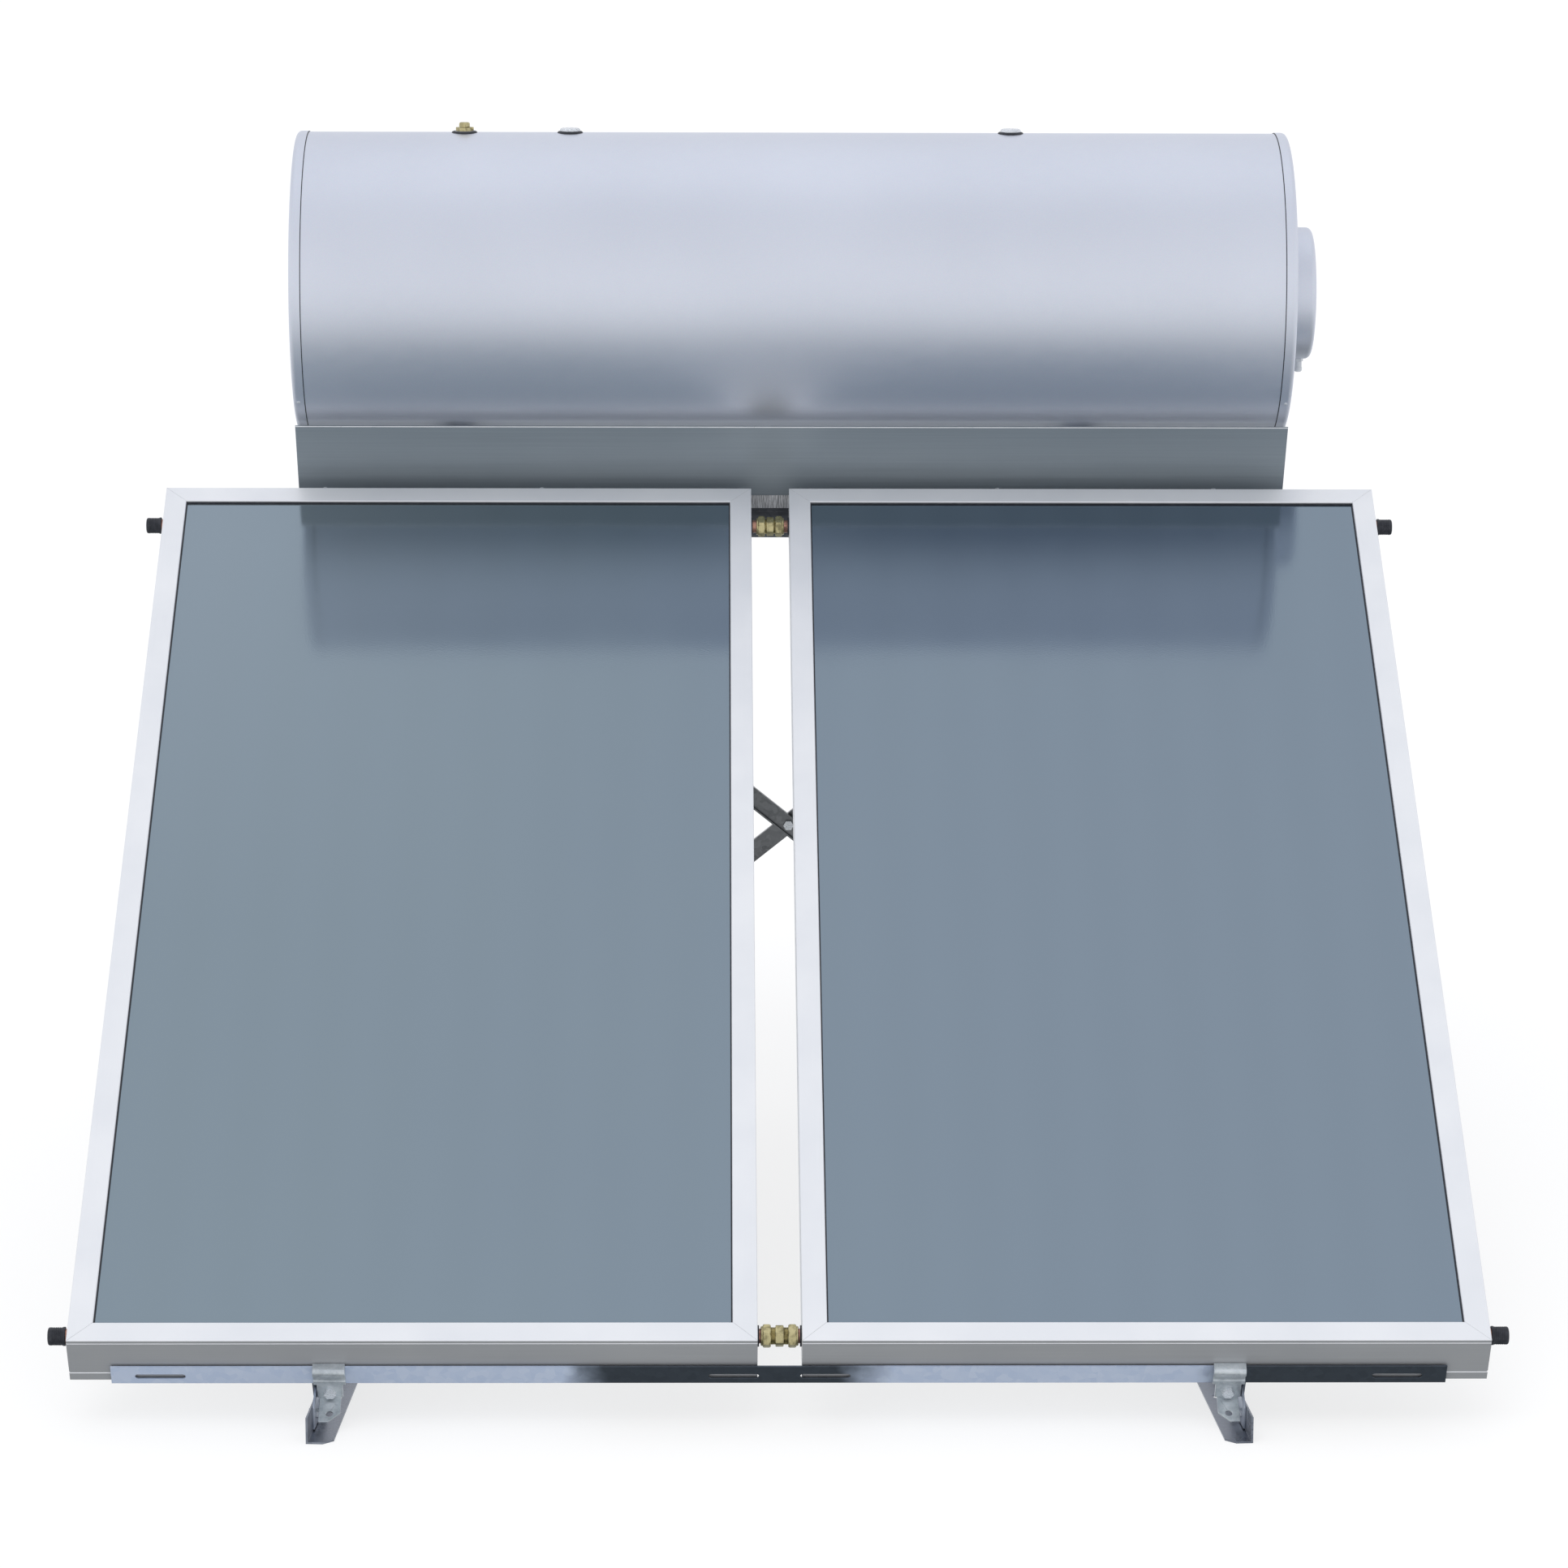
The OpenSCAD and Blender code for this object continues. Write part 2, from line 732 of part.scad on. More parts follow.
module frame_bolts() {
    brace_grip = brace_back_y + angle_t - brace_front_y;
    leg_grip = 2 * angle_t + skin;
    color([0.75, 0.77, 0.8]) {
        for (side = [-1, 1]) {
            gusset_base_bolt_places(side) bolt_and_nut(8, leg_grip);
            gusset_beam_bolt_places(side) bolt_and_nut(8, leg_grip);
            leg_foot_bolt_places(side) bolt_and_nut(10, leg_grip);
            leg_top_bolt_places(side) bolt_and_nut(10, leg_grip);
            saddle_bolt_places(side) bolt_and_nut(10, saddle_t + angle_t + 3.5);
            tank_screw_places(side) bolt(8, 26);
            on_slope() translate([side * clamp_x, clamp_front, foot_bolt_n]) rotate([-90, 0, 0])
                bolt_and_nut(10, 14);
        }
        upper_rail_bolt_places() bolt_and_nut(8, rail_t + angle_t + rail_gap + 2);
        flashing_bolt_places() flashing_bolt();
        brace_bolts();
        cross_bolt_place() bolt_and_nut(10, brace_grip);
        cross_bolt_place() translate([0, 0, angle_t + 0.05])
            tube(11, 5.1, brace_back_y - brace_front_y - angle_t - 0.1);
    }
}

// The falling brace lies in front of the leg flanges, the rising one behind them
module brace_bolts() {
    brace_bolt_places(1) bolt_and_nut(10, 9.2);
    brace_bolt_places(-1) translate([0, 0, 2.6]) bolt_and_nut(10, 9.6);
}

module flashing_bolt() {
    translate([0, 0, -1.5]) cylinder(h = 1.5, r = 5);
    cylinder(h = 10, d = 5);
    translate([0, 0, 5.2]) difference() {
        hexagon(8, 4);
        translate([0, 0, -1]) cylinder(h = 6, d = 5.1);
    }
}

// ---- Tank ----

module socket_holes(radius) {
    top_places() cylinder(h = casing_r + 20, r = radius);
    circuit_places() cylinder(h = casing_r + 20, r = radius);
    water_places() cylinder(h = casing_r + 20, r = radius);
}

module tank_casing() {
    half = half_l - rim_w + 2;
    color([0.78, 0.81, 0.88]) difference() {
        on_tank() translate([0, 0, -half]) cylinder(h = 2 * half, r = casing_r, $fn = 128);
        on_tank() translate([0, 0, -half - 1]) cylinder(h = 2 * half + 2, r = casing_r - casing_t, $fn = 128);
        socket_holes(socket_hole_r);
        for (side = [-1, 1]) tank_screw_places(side) cylinder(h = 30, d = 9, center = true, $fn = 24);
    }
}

// Pressed end cap with a rolled edge and a shallow dish
module end_cap() {
    t = 1.3;
    rim_low = half_l - rim_w;
    edge = [rim_r - rim_round, half_l - rim_round];
    color([0.78, 0.81, 0.88]) rotate_extrude($fn = 128) polygon(concat(
        [[rim_r, rim_low]],
        arc(edge, rim_round, 0, 90, 8),
        [[dish_r + 6, half_l], [dish_r, half_l - dish_depth], [0, half_l - dish_depth]],
        [[0, half_l - dish_depth - t], [dish_r + 0.5, half_l - dish_depth - t],
            [dish_r + 6.5, half_l - t]],
        arc(edge, rim_round - t, 90, 0, 8),
        [[rim_r - t, rim_low]]
    ));
}

module left_end_cap() {
    on_tank() mirror([0, 0, 1]) end_cap();
}

module right_end_cap() {
    difference() {
        on_tank() end_cap();
        on_heater() translate([0, 0, half_l - 20]) cylinder(h = 40, r = cap_hole_r);
    }
}

module tank_insulation() {
    color([0.93, 0.88, 0.66]) difference() {
        on_tank() translate([0, 0, -foam_half]) cylinder(h = 2 * foam_half, r = foam_r, $fn = 128);
        on_tank() translate([0, 0, -vessel_half - 0.5])
            cylinder(h = 2 * vessel_half + 1, r = vessel_r + 0.5, $fn = 128);
        on_tank() translate([0, 0, -jacket_half - 0.5])
            cylinder(h = 2 * jacket_half + 1, r = jacket_r + 0.5, $fn = 128);
        on_heater() translate([0, 0, vessel_half - 5]) cylinder(h = 100, r = neck_r + 0.5);
        on_heater() translate([0, 0, seat_z - 10]) cylinder(h = 100, r = flange_r + 1);
        socket_holes(socket_r + 0.3);
        grommet_pockets();
        for (side = [-1, 1]) tank_screw_places(side) cylinder(h = 32, d = 8.6, $fn = 24);
    }
}

// Room in the insulation for the inner flange of each grommet
module grommet_pockets() {
    top_places() translate([0, 0, casing_r - 8]) cylinder(h = 30, r = 25);
    circuit_places() translate([0, 0, casing_r - 8]) cylinder(h = 30, r = 25);
    water_places() translate([0, 0, casing_r - 8]) cylinder(h = 30, r = 25);
}

// Enamelled pressure vessel with a neck and seat for the heater flange
module inner_tank() {
    end = vessel_half - knuckle_r;
    outer = concat([[0, -vessel_half]],
        arc([vessel_r - knuckle_r, -end], knuckle_r, 270, 360, 8),
        arc([vessel_r - knuckle_r, end], knuckle_r, 0, 90, 8), [[0, vessel_half]]);
    inner = concat([[0, vessel_half - vessel_t]],
        arc([vessel_r - knuckle_r, end], knuckle_r - vessel_t, 90, 0, 8),
        arc([vessel_r - knuckle_r, -end], knuckle_r - vessel_t, 360, 270, 8),
        [[0, vessel_t - vessel_half]]);
    color([0.2, 0.32, 0.5]) difference() {
        union() {
            on_tank() rotate_extrude($fn = 96) polygon(concat(outer, inner));
            on_heater() translate([0, 0, vessel_half - 1]) cylinder(h = seat_z - vessel_half + 1, r = neck_r);
            on_heater() translate([0, 0, seat_z - 8]) cylinder(h = 8, r = flange_r);
        }
        on_heater() translate([0, 0, vessel_half - 10]) cylinder(h = 200, r = neck_bore_r);
        on_heater() flange_bolt_places() cylinder(h = 60, r = 5.05, center = true);
        vessel_holes();
    }
}

module vessel_holes() {
    top_places() cylinder(h = casing_r, r = 10);
    circuit_places() cylinder(h = casing_r, r = 10);
    water_places() cylinder(h = casing_r, r = 10);
}

// Heating jacket around the vessel for the collector circuit
module tank_jacket() {
    inner = vessel_r + 0.1;
    color([0.35, 0.37, 0.4]) difference() {
        on_tank() rotate_extrude($fn = 96) polygon([
            [inner, -jacket_half], [jacket_r, -jacket_half], [jacket_r, jacket_half], [inner, jacket_half],
            [inner, jacket_half - jacket_t], [jacket_r - jacket_t, jacket_half - jacket_t],
            [jacket_r - jacket_t, jacket_t - jacket_half], [inner, jacket_t - jacket_half]
        ]);
        for (along = plug_x) on_tank_top(along) cylinder(h = casing_r, r = 10);
        circuit_places() cylinder(h = casing_r, r = 10);
    }
}

module connection_sockets() {
    color(steel) {
        on_tank_top(relief_x) socket(vessel_r + eps, socket_top);
        for (along = plug_x) on_tank_top(along) socket(jacket_r + eps, socket_top);
        circuit_places() socket(jacket_r + eps, socket_low);
        water_places() socket(vessel_r + eps, socket_low);
    }
}

module socket(from, to) {
    translate([0, 0, from]) tube(socket_r, socket_bore_r, to - from);
}

// Domed rubber ring in the casing around a socket
module socket_grommet() {
    ring_r = 22.5;
    difference() {
        rotate_extrude() polygon(concat(
            [[socket_r + eps, casing_r - 5], [ring_r - 1, casing_r - 5], [ring_r - 1, casing_r - 2.5],
                [socket_hole_r - eps, casing_r - 2.5], [socket_hole_r - eps, casing_r - 1.5],
                [ring_r, casing_r - 1.5]],
            arc([ring_r - 3.5, casing_r - 0.7], 3.5, 0, 90, 5),
            [[socket_r + eps, casing_r + 2.8]]
        ));
        difference() {
            rotate([0, 90, 0]) translate([0, 0, -40]) cylinder(h = 80, r = casing_r + 0.05, $fn = 128);
            cylinder(h = 400, r = socket_hole_r - eps);
            rotate([0, 90, 0]) translate([0, 0, -40])
                cylinder(h = 80, r = casing_r - casing_t - 0.3, $fn = 128);
        }
    }
}

module socket_grommets() {
    color(rubber) {
        top_places() socket_grommet();
        circuit_places() socket_grommet();
        water_places() socket_grommet();
    }
}

// Domed screw plug in an unused top connection
module top_plugs() {
    color(steel) for (along = plug_x) on_tank_top(along) union() {
        translate([0, 0, socket_top - 14]) cylinder(h = 14.3, r = socket_bore_r - 0.05);
        translate([0, 0, socket_top + 0.2]) rotate_extrude() polygon(concat(
            [[0, 0], [18, 0], [18, 1]],
            arc([14, 1], 4, 0, 90, 5),
            [[0, 5]]
        ));
    }
}

module relief_valve_body() {
    outlet_z = socket_top + 3.3;
    color(brass) on_tank_top(relief_x) difference() {
        union() {
            translate([0, 0, socket_top - 14]) cylinder(h = 14.3, r = socket_bore_r - 0.05);
            translate([0, 0, socket_top + 0.2]) hexagon(26, 6);
            translate([0, 0, outlet_z]) rotate([0, 90, 0]) cylinder(h = socket_r - eps, r = 3.2);
        }
        translate([0, 0, socket_top - 8]) cylinder(h = 20, r = 4.05);
        translate([8, 0, outlet_z]) rotate([0, 90, 0]) cylinder(h = 20, r = 1.8);
    }
}

module relief_valve_knob() {
    base = socket_top + 6.8;
    color(brass) on_tank_top(relief_x) {
        translate([0, 0, socket_top - 6]) cylinder(h = base - socket_top + 6.5, r = 4);
        translate([0, 0, base]) difference() {
            rotate_extrude() polygon(concat(
                [[0, 0], [9.4, 0], [9.4, 5]],
                arc([6.4, 5], 3, 0, 90, 5),
                [[0, 8]]
            ));
            for (i = [0:7]) {
                rotate([0, 0, i * 45 + 22.5]) translate([10.4, 0, -1]) cylinder(h = 5.2, r = 1.8, $fn = 24);
            }
        }
    }
}

// ---- Electric heater ----

module flange_bolt_places() {
    for (i = [0:flange_bolts_n - 1]) {
        rotate([0, 0, i * 360 / flange_bolts_n]) translate([flange_bolt_r, 0, plate_z + plate_t]) children();
    }
}

module heater_flange() {
    color(steel) on_heater() difference() {
        translate([0, 0, plate_z]) cylinder(h = plate_t, r = flange_r);
        flange_bolt_places() cylinder(h = 60, r = 5.2, center = true);
    }
}

module flange_gasket() {
    color(rubber) on_heater() difference() {
        translate([0, 0, seat_z + 0.05]) cylinder(h = plate_z - seat_z - eps, r = flange_r);
        translate([0, 0, seat_z - 5]) cylinder(h = 20, r = neck_bore_r + 2);
        flange_bolt_places() cylinder(h = 60, r = 5.2, center = true);
    }
}

module flange_bolts() {
    color(steel) on_heater() flange_bolt_places() rotate([180, 0, 0]) bolt(10, 18);
}

// Heating rod bent into a U, with its legs on the flange
module heating_element() {
    reach = 300;
    bend = 16;
    rod_r = 4;
    color([0.6, 0.35, 0.25]) on_heater() translate([22, 0, plate_z - 0.05]) {
        for (end = [-1, 1]) {
            translate([0, end * bend, -reach]) cylinder(h = reach, r = rod_r);
        }
        translate([0, 0, -reach]) rotate([-90, 0, 90]) rotate_extrude(angle = 180)
            translate([bend, 0]) circle(r = rod_r);
    }
}

module anode_rod() {
    color([0.66, 0.67, 0.69]) on_heater() translate([-28, 0, plate_z - 500.05]) {
        cylinder(h = 480, r = 13);
        translate([0, 0, 480]) cylinder(h = 20, r = 5);
    }
}

module thermostat() {
    top = plate_z + plate_t + 16;
    color([0.9, 0.9, 0.88]) on_heater() difference() {
        translate([-22, -20, plate_z + plate_t + 0.1]) cube([44, 40, 15.9]);
        translate([0, 0, top - 9]) cylinder(h = 12, r = 3.05);
    }
}

module thermostat_dial() {
    top = plate_z + plate_t + 16;
    color([0.15, 0.15, 0.17]) on_heater() {
        translate([0, 0, top - 8]) cylinder(h = 8.5, r = 3);
        difference() {
            translate([0, 0, top + 0.3]) cylinder(h = 6, r = 11);
            translate([-12, -0.6, top + 5]) cube([10, 1.2, 3]);
        }
    }
}

// Rounded ring with a ledge inside, a short sector of it that carries the gland, and a
// flat face plate that lies on the ledge
module heater_cover() {
    sector = 20;
    joint = 0.05;
    color([0.74, 0.77, 0.84]) on_heater() {
        rotate([0, 0, sector / 2]) cover_ring(360 - sector);
        difference() {
            rotate([0, 0, joint - sector / 2]) cover_ring(sector - 2 * joint);
            translate([cover_d / 2 - 20, 0, gland_z]) rotate([0, 90, 0]) cylinder(h = 40, r = 6.1);
        }
        translate([0, 0, cover_front - face_t])
            cylinder(h = face_t, r = cover_d / 2 - cover_round - eps, $fn = 96);
    }
}

module cover_ring(sweep) {
    outer = cover_d / 2;
    corner = [outer - cover_round, cover_front - cover_round];
    ledge_r = corner[0] - 9;
    seat_top = cover_front - face_t - 0.05;
    rotate_extrude(angle = sweep, $fn = 96) polygon(concat(
        [[outer, cover_back]],
        arc(corner, cover_round, 0, 90, 6),
        [[corner[0], seat_top], [ledge_r, seat_top], [ledge_r, cover_front - cover_wall]],
        arc(corner, cover_round - cover_wall, 90, 0, 6),
        [[outer - cover_wall, cover_back]]
    ));
}

// Cable gland under the cover, bore open downwards
module cable_gland() {
    outer = cover_d / 2;
    color([0.8, 0.82, 0.82]) on_heater() translate([0, 0, gland_z]) rotate([0, 90, 0]) {
        difference() {
            union() {
                translate([0, 0, outer - 10]) cylinder(h = 11, r = 6);
                translate([0, 0, outer + 0.2]) hexagon(15, 5);
                translate([0, 0, outer + 5]) cylinder(h = 12, r = 6.6);
                translate([0, 0, outer + 16]) rotate_extrude() polygon(concat(
                    [[0, 0], [7.2, 0], [7.2, 4]], arc([3.2, 4], 4, 0, 90, 4), [[0, 8]]));
            }
            translate([0, 0, outer - 20]) cylinder(h = 60, r = gland_bore_r);
        }
        translate([0, 0, outer - 8]) difference() {
            hexagon(15, 4);
            translate([0, 0, -1]) cylinder(h = 6, r = 6.05);
        }
    }
}

collector_frame(-1);  // left_collector_frame
collector_frame(1);  // right_collector_frame
glass(-1);  // left_glass
glass(1);  // right_glass
glass_gasket(-1);  // left_glass_gasket
glass_gasket(1);  // right_glass_gasket
absorber_plate(-1);  // left_absorber_plate
absorber_plate(1);  // right_absorber_plate
absorber_tubes(-1);  // left_absorber_tubes
absorber_tubes(1);  // right_absorber_tubes
collector_insulation(-1);  // left_collector_insulation
collector_insulation(1);  // right_collector_insulation
back_sheet(-1);  // left_back_sheet
back_sheet(1);  // right_back_sheet
pipe_grommets();
blanking_cap(-1, collector_l - header_inset);  // top_left_cap
blanking_cap(1, collector_l - header_inset);  // top_right_cap
blanking_cap(-1, header_inset);  // bottom_left_cap
blanking_cap(1, header_inset);  // bottom_right_cap
coupling_body(collector_l - header_inset, top_coupling_half);  // top_coupling_body
coupling_body(header_inset, bottom_coupling_half);  // bottom_coupling_body
coupling_nuts();
lower_rail();
upper_rail();
flashing();
rail_clamps();
tie_down_brackets();
base_beam(-1);  // left_base_beam
base_beam(1);  // right_base_beam
sloping_beam(-1);  // left_sloping_beam
sloping_beam(1);  // right_sloping_beam
rear_leg(-1);  // left_rear_leg
rear_leg(1);  // right_rear_leg
front_gussets();
brace(1, brace_front_y, -1);  // front_brace
brace(-1, brace_back_y, 1);  // back_brace
tank_saddle(-1);  // left_tank_saddle
tank_saddle(1);  // right_tank_saddle
frame_bolts();
tank_casing();
left_end_cap();
right_end_cap();
tank_insulation();
inner_tank();
tank_jacket();
connection_sockets();
socket_grommets();
top_plugs();
relief_valve_body();
relief_valve_knob();
heater_flange();
flange_gasket();
flange_bolts();
heating_element();
anode_rod();
thermostat();
thermostat_dial();
heater_cover();
cable_gland();
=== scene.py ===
"""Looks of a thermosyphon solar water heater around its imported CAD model.

Metres. +X runs along the tank, +Y from the low edge of the collectors to the tank, +Z up.
"""

import math

import bmesh
import bpy
from mathutils import Matrix, Vector


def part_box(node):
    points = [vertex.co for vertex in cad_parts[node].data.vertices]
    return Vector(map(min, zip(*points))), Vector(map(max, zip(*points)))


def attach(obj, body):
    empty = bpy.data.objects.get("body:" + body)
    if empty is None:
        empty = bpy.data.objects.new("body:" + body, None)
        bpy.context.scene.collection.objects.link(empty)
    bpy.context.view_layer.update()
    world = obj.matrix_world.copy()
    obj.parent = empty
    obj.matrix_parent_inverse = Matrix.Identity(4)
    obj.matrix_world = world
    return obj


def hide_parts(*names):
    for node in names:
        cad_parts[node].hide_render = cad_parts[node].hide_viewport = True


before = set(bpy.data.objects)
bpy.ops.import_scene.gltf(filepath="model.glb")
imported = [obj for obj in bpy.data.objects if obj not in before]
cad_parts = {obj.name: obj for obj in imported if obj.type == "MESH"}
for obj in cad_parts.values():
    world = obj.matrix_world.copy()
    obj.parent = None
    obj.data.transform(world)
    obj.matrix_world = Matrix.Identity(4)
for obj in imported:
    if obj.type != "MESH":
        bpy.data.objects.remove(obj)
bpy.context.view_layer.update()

MM = 0.001
# Edges that turn by more than this stay sharp
SHARP = math.radians(35)
# How far seams and screw heads are let into the surface that they sit on
SUNK = 0.2 * MM

# ---- Frame of the collectors: x along the tank, y up the slope, z off the glass ----

TILT = math.radians(30)
SLOPE_START = Vector((0, -0.182, 0.150))
ON_SLOPE = Matrix.Translation(SLOPE_START) @ Matrix.Rotation(TILT, 4, "X")
TO_SLOPE = ON_SLOPE.inverted()
COLLECTOR_LENGTH = 2.0
COLLECTOR_WIDTH = 1.02
COLLECTOR_GAP = 0.066
COLLECTOR_MIDDLE_X = (COLLECTOR_GAP + COLLECTOR_WIDTH) / 2

# ---- Camera, light and floor ----


def make_camera():
    """Seen from in front and above, a little from the left, with a long lens."""
    eye = Vector((-0.101, -7.916, 2.634))
    pitch = math.radians(12)
    yaw = math.radians(0.77)
    roll = math.radians(0.2)
    data = bpy.data.cameras.new("camera")
    data.lens = 125.7
    data.sensor_width = 36
    data.clip_end = 200
    camera = bpy.data.objects.new("camera", data)
    aim = Matrix.Rotation(-yaw, 4, "Z") @ Matrix.Rotation(math.pi / 2 - pitch, 4, "X")
    camera.matrix_world = Matrix.Translation(eye) @ aim @ Matrix.Rotation(roll, 4, "Z")
    bpy.context.scene.collection.objects.link(camera)
    bpy.context.scene.camera = camera


def sky_colour(nodes, links, direction):
    """Darker below, pale at the level of the eye, a little greyer overhead."""
    stops = [
        (0.0, (0.18, 0.20, 0.21)),
        (0.05, (0.20, 0.22, 0.23)),
        (0.15, (0.38, 0.40, 0.41)),
        (0.23, (0.58, 0.60, 0.62)),
        (0.32, (0.74, 0.76, 0.78)),
        (0.42, (0.85, 0.86, 0.88)),
        (0.50, (0.86, 0.87, 0.90)),
        (0.65, (0.86, 0.87, 0.90)),
        (0.82, (0.78, 0.79, 0.83)),
        (0.95, (0.72, 0.74, 0.79)),
        (1.0, (0.76, 0.78, 0.83)),
    ]
    split = nodes.new("ShaderNodeSeparateXYZ")
    links.new(direction, split.inputs[0])
    height = nodes.new("ShaderNodeMapRange")
    height.inputs["From Min"].default_value = -1
    links.new(split.outputs["Z"], height.inputs["Value"])
    sky = nodes.new("ShaderNodeValToRGB")
    links.new(height.outputs[0], sky.inputs[0])
    for place, colour in stops[2:]:
        sky.color_ramp.elements.new(place)
    for element, (place, colour) in zip(sky.color_ramp.elements, stops):
        element.position = place
        element.color = (*colour, 1)
    return sky.outputs[0]


def glow(nodes, links, direction):
    """Soft extra light round a point high behind the object."""
    height = math.radians(74)
    edge = 0.72
    strength = 0.17
    nearness = nodes.new("ShaderNodeVectorMath")
    nearness.operation = "DOT_PRODUCT"
    nearness.inputs[1].default_value = (0, math.cos(height), math.sin(height))
    links.new(direction, nearness.inputs[0])
    spread = nodes.new("ShaderNodeMapRange")
    spread.interpolation_type = "SMOOTHSTEP"
    spread.inputs["From Min"].default_value = edge
    spread.inputs["From Max"].default_value = 1
    spread.inputs["To Max"].default_value = strength
    links.new(nearness.outputs["Value"], spread.inputs["Value"])
    return spread.outputs[0]


def make_world():
    """A soft studio made of the sky's colour and the glow."""
    world = bpy.data.worlds.new("studio")
    world.use_nodes = True
    bpy.context.scene.world = world
    nodes = world.node_tree.nodes
    links = world.node_tree.links
    direction = nodes.new("ShaderNodeTexCoord").outputs["Generated"]
    add = nodes.new("ShaderNodeMix")
    add.data_type = "RGBA"
    add.blend_type = "ADD"
    add.inputs[0].default_value = 1
    links.new(sky_colour(nodes, links, direction), add.inputs["A"])
    links.new(glow(nodes, links, direction), add.inputs["B"])
    links.new(add.outputs["Result"], nodes["Background"].inputs["Color"])


def make_sun():
    """Soft key light for shadows only: mirrors don't show it."""
    data = bpy.data.lights.new("sun", "SUN")
    data.energy = 0.8
    data.angle = math.radians(40)
    sun = bpy.data.objects.new("sun", data)
    sun.rotation_euler = (math.radians(30), math.radians(-14), 0)
    sun.visible_glossy = False
    bpy.context.scene.collection.objects.link(sun)


def make_floor():
    """Pale floor, kept out of mirror reflections so that metal shows the darker world below."""
    half = 60
    mesh = bpy.data.meshes.new("floor")
    corners = [(-half, -half, 0), (half, -half, 0), (half, half, 0), (-half, half, 0)]
    mesh.from_pydata(corners, [], [(0, 1, 2, 3)])
    floor = bpy.data.objects.new("floor", mesh)
    bpy.context.scene.collection.objects.link(floor)
    paint = Material(
        "floor_paint",
        {
            "Roughness": 0.9,
            "Base Color": (0.28, 0.28, 0.278, 1),
            "Emission Color": (1, 1, 1, 1),
            "Emission Strength": 0.72,
        },
    )
    floor.data.materials.append(paint.material)
    floor.visible_glossy = False


# ---- Materials ----


class Material:
    """A Principled material with short calls for its nodes."""

    def __init__(self, name, sockets):
        self.material = bpy.data.materials.new(name)
        self.material.use_nodes = True
        self.tree = self.material.node_tree
        self.shader = self.tree.nodes["Principled BSDF"]
        for socket, value in sockets.items():
            self.shader.inputs[socket].default_value = value

    def node(self, kind, values=(), **settings):
        """A node with its settings, each input fed with a value or another node's output."""
        made = self.tree.nodes.new(kind)
        for setting, value in settings.items():
            setattr(made, setting, value)
        for socket, value in dict(values).items():
            self.feed(made.inputs[socket], value)
        return made

    def feed(self, socket, value):
        if isinstance(value, bpy.types.NodeSocket):
            self.tree.links.new(value, socket)
        else:
            socket.default_value = value

    def plug(self, socket, value):
        self.feed(self.shader.inputs[socket], value)

    def place(self, scale=(1, 1, 1), slope=False):
        """Object coordinates, optionally turned so that y runs up the slope."""
        vector = self.node("ShaderNodeTexCoord").outputs["Object"]
        if slope:
            turn = self.node(
                "ShaderNodeMapping",
                {"Vector": vector, "Location": TO_SLOPE.translation, "Rotation": (-TILT, 0, 0)},
            )
            vector = turn.outputs[0]
        return self.node("ShaderNodeMapping", {"Vector": vector, "Scale": scale}).outputs[0]

    def noise(self, vector, scale, detail=3.0, roughness=0.5, distortion=0.0):
        values = {
            "Vector": vector,
            "Scale": scale,
            "Detail": detail,
            "Roughness": roughness,
            "Distortion": distortion,
        }
        return self.node("ShaderNodeTexNoise", values).outputs[0]

    def cells(self, vector, scale, output="Color"):
        return self.node("ShaderNodeTexVoronoi", {"Vector": vector, "Scale": scale}).outputs[output]

    def crystals(self, vector, scale):
        """One even grey for each cell."""
        return self.node("ShaderNodeSeparateColor", {0: self.cells(vector, scale)}).outputs[0]

    def ramp(self, factor, stops):
        """Colour ramp through (place, colour) stops."""
        made = self.node("ShaderNodeValToRGB", {"Fac": factor})
        elements = made.color_ramp.elements
        for _ in stops[2:]:
            elements.new(0.5)
        for element, (place, colour) in zip(elements, stops):
            element.position = place
            element.color = (*colour, 1)
        return made.outputs[0]

    def remap(self, value, low, high, to_low=0.0, to_high=1.0, smooth=False):
        values = {
            "Value": value,
            "From Min": low,
            "From Max": high,
            "To Min": to_low,
            "To Max": to_high,
        }
        kind = "SMOOTHSTEP" if smooth else "LINEAR"
        return self.node("ShaderNodeMapRange", values, interpolation_type=kind).outputs[0]

    def mix(self, factor, a, b, blend="MIX"):
        made = self.node("ShaderNodeMix", data_type="RGBA", blend_type=blend)
        self.feed(made.inputs["Factor"], factor)
        self.feed(made.inputs["A"], a if isinstance(a, bpy.types.NodeSocket) else (*a, 1))
        self.feed(made.inputs["B"], b if isinstance(b, bpy.types.NodeSocket) else (*b, 1))
        return made.outputs["Result"]

    def maths(self, operation, a, b=0.0):
        return self.node("ShaderNodeMath", {0: a, 1: b}, operation=operation).outputs[0]

    def bump(self, height, distance, strength=1.0, normal=None):
        """Normal raised by height, on top of another normal where one is given."""
        values = {"Height": height, "Distance": distance, "Strength": strength}
        if normal is not None:
            values["Normal"] = normal
        return self.node("ShaderNodeBump", values).outputs[0]

    def rounded(self, radius):
        """Normal that rounds sharp edges a little."""
        return self.node("ShaderNodeBevel", {"Radius": radius}, samples=4).outputs[0]


